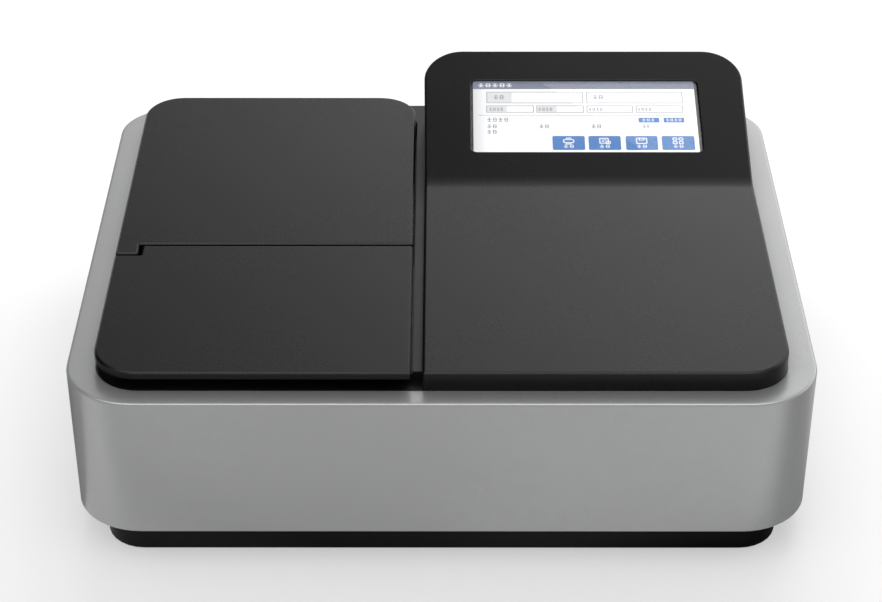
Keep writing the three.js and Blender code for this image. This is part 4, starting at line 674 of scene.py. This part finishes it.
def lid_ring(inset, z, cleared):
    """The lid's outline at a height. Where the hinge ears stand, its rear edge steps forward."""
    ring = loop(lid_corners, inset, lid_along)
    first, pocket_front = 3 * (STEPS + 1), -36
    if cleared:
        ring[first + np.array([1, 2, 5, 6]), 1] = pocket_front
    return lift(ring, z)


lid_rows = [(0.5, LID_UNDER, True), (0, 133.2, True), (0, 135.9, True), (0, 135.95, False)]
lid_rows += [(inset, z, False) for inset, z in chamfer(EDGE, TOP)]
plate = skin([lid_ring(inset, z, cleared) for inset, z, cleared in lid_rows])


def sleeve(x0, x1, y, z, radius, bore, steps=24):
    """A round bush along X: four rings of y, z = centre + radius (cos, sin), joined in turn."""
    turn = np.linspace(0, 2 * math.pi, steps, endpoint=False)
    ring = lambda x, r: np.c_[np.full(steps, x), y + r * np.cos(turn), z + r * np.sin(turn)]
    return skin([ring(x1, radius), ring(x0, radius), ring(x0, bore), ring(x1, bore)], closed=True)


lugs = [
    sleeve(x + a, x + b, HINGE_Y, HINGE_Z, 3, 1.7)
    for x in (-184, -44)
    for a, b in ((-8.5, -4.5), (4.5, 8.5))
]
piece(
    "sample_lid_plate", [plate, *lugs], cover_plastic, "lid", ["sample_lid"]
)
recut("lid_liner", tray_plastic, "lid", edge=0.3)
recut("lid_gasket", rubber, edge=0.3)
for side in ("left", "right"):
    recut(f"bumper_{side}", rubber, edge=0.2)
    recut(f"hinge_ear_{side}", steel, edge=0.2)
    recut(f"hinge_pin_{side}", steel, "lid", edge=0.15)
coat(["lid_magnet"], nickel)
coat(["catch_plate"], steel)

# Console: one moulded cover whose flat slab sweeps up into the raised screen hood, with a
# chamfered window for the touch screen.
BREAK_Y, TILT, BLEND, LEAN = 58, math.radians(16.5), 45, 1.3
CONSOLE_LEFT = -12
MIDDLE = (CONSOLE_LEFT + RIGHT) / 2
ROUND_X, ROUND_Y = (RIGHT - CONSOLE_LEFT) / 2 - REAR_ROUND, COVER_REAR - REAR_ROUND


def console_height(y, drop=0.0):
    """Height of the top face. It is flat up to the blend, an arc of the blend radius through the
    blend, and a straight slope of the tilt behind it; the drop is taken square to the face."""
    corner = BREAK_Y + drop * math.tan(TILT / 2)
    radius = BLEND + drop
    reach = radius * math.tan(TILT / 2)
    along = np.clip(y - (corner - reach), 0, radius * math.sin(TILT))
    arc = radius - np.sqrt(radius**2 - along**2)
    slope = (y - corner) * math.tan(TILT)
    return TOP - drop + np.where(y < corner + reach * math.cos(TILT), arc, slope)


def in_hood(ring, depth):
    """Points of the hood's own plane, x across and s up the slope, at a depth below its face."""
    x, s = np.asarray(ring).T
    y = BREAK_Y + s * math.cos(TILT) + depth * math.sin(TILT)
    return np.c_[x, y, TOP + s * math.sin(TILT) - depth * math.cos(TILT)]


def leaning(ring, z):
    """A console outline at its heights: the walls of the hood lean out at the top, in
    proportion to the height above the slab, and the back keeps to the slope of the hood."""
    lean = LEAN * np.clip(z - TOP, 0, None) / (console_height(COVER_REAR) - TOP)
    x, y = ring.T
    aside = np.clip(np.abs(x - MIDDLE) - ROUND_X, 0, None) / REAR_ROUND
    shift = lean * np.clip(y - ROUND_Y, 0, None) / REAR_ROUND
    return np.c_[x + np.sign(x - MIDDLE) * lean * aside, y + shift, z + shift * math.tan(TILT)]


console_corners = box_corners(
    CONSOLE_LEFT, RIGHT, COVER_FRONT, COVER_REAR, SHARP, FRONT_ROUND, REAR_ROUND, REAR_ROUND
)
rise = np.linspace(BREAK_Y - 7.5, BREAK_Y + 8.5, 17)
console_along = [(1, 1, rise), (3, 1, rise[::-1])]
cover_rings = [lift(loop(console_corners, 0, console_along), BASE)]
for inset, fall in chamfer(EDGE, 0):
    ring = loop(console_corners, inset, console_along)
    cover_rings.append(leaning(ring, console_height(ring[:, 1]) + fall))
window = box_corners(21.5, 188, 31.3, 104.5, 4)
lip = ((0.95, 0), (0.75, 0.06), (0.06, 0.75), (0, 0.9), (0, 1), (4.3, 1), (4.3, WALL))
window_rings = [in_hood(loop(window, -out), depth) for out, depth in lip]
ring = loop(console_corners, WALL, console_along)
inner_rings = [lift(ring, console_height(ring[:, 1], WALL)), lift(ring, BASE)]
outer, faces = skin(cover_rings, caps=False)
hole, hole_faces = skin(window_rings, caps=False)
inner, inner_faces = skin(inner_rings, caps=False)
size, pane = len(cover_rings[0]), len(window_rings[0])
hole_base, inner_base = len(outer), len(outer) + len(hole)
faces += [face[::-1] for face in offset(hole_faces, hole_base)]
faces += offset(inner_faces, inner_base)


def cover_top(edge, window_edge, flip):
    """The top face inside an edge ring: strips from side to side over the slab and the blend, and
    four flat pieces round the window on the hood."""
    n, half = STEPS + 1, STEPS // 2
    right = np.arange(2 * n - 1, 2 * n + len(rise))
    left = np.concatenate([[0], np.arange(size - 1, size - 1 - len(rise), -1)])
    rear_right, rear_left = 2 * n + len(rise) + half, 3 * n + len(rise) + half
    edges = lambda a, b: [edge + v for v in range(a, b + 1)]
    frame_of = lambda a, b: [window_edge + v % (4 * n) for v in range(a, b + 1)][::-1]
    fl, fr, rr, rl = half, n + half, 2 * n + half, 3 * n + half
    made = [edges(0, 2 * n - 1) + [edge + right[1], edge + left[1]]]
    made += [
        [edge + v for v in (left[i], right[i], right[i + 1], left[i + 1])]
        for i in range(1, len(rise))
    ]
    made.append([edge + left[-1], edge + right[-1]] + frame_of(fl, fr))
    made.append(edges(right[-1], rear_right) + frame_of(fr, rr))
    made.append(edges(rear_right, rear_left) + frame_of(rr, rl))
    made.append(edges(rear_left, left[-1]) + frame_of(rl, fl + 4 * n))
    return [face[::-1] for face in made] if flip else made


faces += cover_top((len(cover_rings) - 1) * size, hole_base, False)
faces += cover_top(inner_base, hole_base + (len(window_rings) - 1) * pane, True)
rim = np.arange(size)
nxt = (rim + 1) % size
faces += np.stack([inner_base + size + rim, inner_base + size + nxt, nxt, rim], -1).tolist()
console = (np.vstack([outer, hole, inner]), faces)
piece(
    "console_moulding", [console], cover_plastic, stands_for=["console_cover"]
)

# Touch screen: a glass in the hood's rebate over a lit panel. The panel shows plain cells,
# lines and buttons with simple signs, laid on it as thin films. Places are x across and s up
# the hood's slope.
screen_glass = finish(
    "screen_glass", ((0.98, 0.985, 0.99), (0.99, 0.99, 1.0)), (0.0, 0.004),
    grain=200, bump=0.0, Transmission_Weight=1.0, IOR=1.45,
)
coat(["display_glass"], screen_glass)


def lit(name, colour, second):
    """A lit film: its colour drifts slowly to the second one."""
    made = bpy.data.materials.new(name)
    made.use_nodes = True
    tree = made.node_tree
    place = add(tree, "TexCoord").outputs["Object"]
    drift = add(tree, "TexNoise", {"Vector": place, "Scale": 18}).outputs["Fac"]
    colours = {"Factor": drift, "A": (*colour, 1), "B": (*second, 1)}
    feed(tree, tree.nodes["Principled BSDF"], {
        "Base Color": (0.02, 0.02, 0.02, 1),
        "Roughness": 0.5,
        "Emission Color": add(tree, "Mix", colours, data_type="RGBA").outputs["Result"],
        "Emission Strength": 1.0,
    })
    return made


panel_white = lit("lit_white", (0.97, 0.98, 1.0), (1.0, 1.0, 1.0))
tree = panel_white.node_tree
across = add(tree, "SeparateXYZ", {0: add(tree, "TexCoord").outputs["Object"]}).outputs["X"]
# Painted shade: the panel's glow is dimmed over its leftmost strip, beside the bezel.
edge_start, edge_end, edge_glow, full_glow = 0.022, 0.034, 0.72, 1.04
painted_shade_at_left = ranged(tree, across, edge_start, edge_end, edge_glow, full_glow)
feed(tree, tree.nodes["Principled BSDF"], {"Emission Strength": painted_shade_at_left})
coat(["display_panel"], panel_white)
PICTURE, MARK, BORDER, FILM = 3.17, 3.10, 3.02, 0.05


def film(x0, x1, s0, s1, radius, depth=PICTURE):
    """A thin film with round corners in the hood's plane: its outline at two depths."""
    ring = loop(box_corners(x0, x1, s0, s1, radius))
    return skin([in_hood(ring, depth + FILM), in_hood(ring, depth)])


def outline(x0, x1, s0, s1, radius, width, depth=PICTURE):
    """A thin drawn cell: four rings, outside and inside its line, joined in turn."""
    corners = box_corners(x0, x1, s0, s1, radius)
    far, near = loop(corners), loop(corners, width)
    rows = ((far, depth + FILM), (far, depth), (near, depth), (near, depth + FILM))
    return skin([in_hood(ring, level) for ring, level in rows], closed=True)


edge_black = finish(
    "screen_border", ((0.002, 0.002, 0.0022), (0.003, 0.003, 0.0033)), (0.4, 0.5),
    grain=900, bump=0.02,
)
far, near = (
    loop(box_corners(*sides))
    for sides in ((17.6, 191.9, 27.5, 108.4, 3), (22.9, 186.0, 31.9, 106.2, 2))
)
rows = ((far, BORDER + FILM), (far, BORDER), (near, BORDER), (near, BORDER + FILM))
border = skin([in_hood(ring, depth) for ring, depth in rows], closed=True)
piece("screen_border", [border], edge_black)
slate = lit("lit_slate", (0.165, 0.183, 0.255), (0.175, 0.193, 0.265))
piece("screen_header", [film(17.6, 191.9, 97.8, 107.4, 0.3)], slate)
upper, lower = (82.9, 95.0), (73.0, 80.7)
cell_sides = (
    (32.6, 103.8, *upper), (106.1, 177.0, *upper), (32.4, 67.5, *lower), (69.1, 104.1, *lower),
    (105.9, 140.0, *lower), (141.9, 176.7, *lower),
)
cells = [outline(*sides, 0.8, 0.8) for sides in cell_sides]
cells.append(film(26.4, 183.1, 70.2, 70.7, 0.2))
pale_grey = lit("lit_pale_grey", (0.46, 0.46, 0.47), (0.52, 0.52, 0.53))
piece("screen_cells", cells, pale_grey)
fill_sides = ((33.4, 51.3, 83.7, 94.2), (33.2, 47.5, 73.8, 79.9), (69.9, 84.0, 73.8, 79.9))
white_grey = lit("lit_white_grey", (0.74, 0.74, 0.75), (0.8, 0.8, 0.81))
piece("screen_fills", [film(*sides, 0.4) for sides in fill_sides], white_grey)


def word(x, s, marks, height, gap):
    """A run of marks that reads as a line of small print: each has three level strokes, at the
    foot, the middle and the top, and one or two upright strokes in turn. Strokes, their places
    and their shortening are shares of the mark's width and height."""
    strokes = []
    for number, mark in enumerate(marks):
        for level, short in ((0.0, 0.12), (0.43, 0.0), (0.86, 0.2)):
            low, high = s + level * height, s + level * height + 0.14 * height
            strokes.append(film(x + short * mark, x + (1 - short) * mark, low, high, 0.05, MARK))
        for upright in ((0.42,), (0.12, 0.72))[number % 2]:
            near, far = x + upright * mark, x + (upright + 0.16) * mark
            strokes.append(film(near, far, s, s + height, 0.05, MARK - 0.01))
        x += mark + gap
    return strokes


two, four = (3.4, 3.4), (2.2, 2.2, 2.2, 2.2)
lines = (
    (38.0, 87.2, two, 4.0, 0.8), (111.0, 87.2, two, 4.0, 0.8), (34.6, 75.2, four, 3.0, 0.5),
    (70.6, 75.2, four, 3.0, 0.5), (107.4, 75.2, four, 3.0, 0.5), (143.2, 75.2, four, 3.0, 0.5),
    (33.0, 63.8, (3.2, 3.2, 3.2, 3.2), 4.0, 0.9), (32.9, 57.2, (3.2, 3.2), 3.6, 0.8),
    (70.8, 57.2, (3.2, 3.2), 3.6, 0.8), (108.8, 57.2, (3.2, 3.2), 3.6, 0.8),
    (146.0, 57.2, (2.4, 1.8), 3.6, 0.8), (32.8, 51.6, (3.2, 3.2), 3.6, 0.8),
)
labels = [stroke for line in lines for stroke in word(*line)]
mid_grey = lit("lit_mid_grey", (0.2, 0.21, 0.23), (0.26, 0.27, 0.29))
piece("screen_labels", labels, mid_grey)
large_keys = ((80, 103.4), (106.1, 129.4), (133, 156.1), (159.1, 182.8))
small_keys = ((143.4, 158.5), (161.7, 176.7))
keys = [film(x0, x1, 35.1, 49.2, 1.3) for x0, x1 in large_keys]
keys += [film(x0, x1, 63.1, 67.9, 0.6) for x0, x1 in small_keys]
blue = lit("lit_blue", (0.02, 0.175, 0.51), (0.03, 0.19, 0.53))
piece("screen_keys", keys, blue)
signs = word(26.7, 99.9, (4.3, 4.3, 4.3, 4.3, 4.3), 3.6, 0.9)
for x in (91.7, 117.7, 144.5, 170.9):
    signs += word(x - 3.7, 37.2, (3.2, 3.2), 3.0, 1.0)
signs += word(145.9, 64.3, (2.6, 2.6, 2.6), 2.6, 0.7)
signs += word(163.4, 64.3, (2.4, 2.4, 2.4, 2.4), 2.6, 0.6)
printer = [
    outline(87.6, 95.8, 41.9, 46.0, 1.6, 0.9, MARK), film(89.6, 93.8, 46.5, 47.4, 0.2, MARK),
    film(89.4, 94.0, 40.6, 41.5, 0.2, MARK),
]
page_and_lens = [
    outline(113.8, 120.8, 41.4, 47.2, 0.7, 0.9, MARK), film(115.6, 119.2, 44.8, 45.5, 0.2, MARK),
    film(115.6, 117.6, 43.2, 43.9, 0.2, MARK), outline(118.2, 122.2, 40.8, 44.4, 1.6, 0.8, MARK),
]
disk = [
    outline(140.4, 148.6, 41.2, 47.4, 0.9, 0.9, MARK),
    outline(142.4, 146.6, 44.6, 47.4, 0.4, 0.8, MARK),
]
four_squares = [
    outline(x, x + 3.5, s, s + 3.1, 0.9, 0.85, MARK) for x in (166.9, 171.3) for s in (40.9, 44.6)
]
signs += printer + page_and_lens + disk + four_squares
sign_white = lit("lit_sign_white", (0.86, 0.88, 0.92), (0.95, 0.96, 0.98))
piece("screen_signs", signs, sign_white)
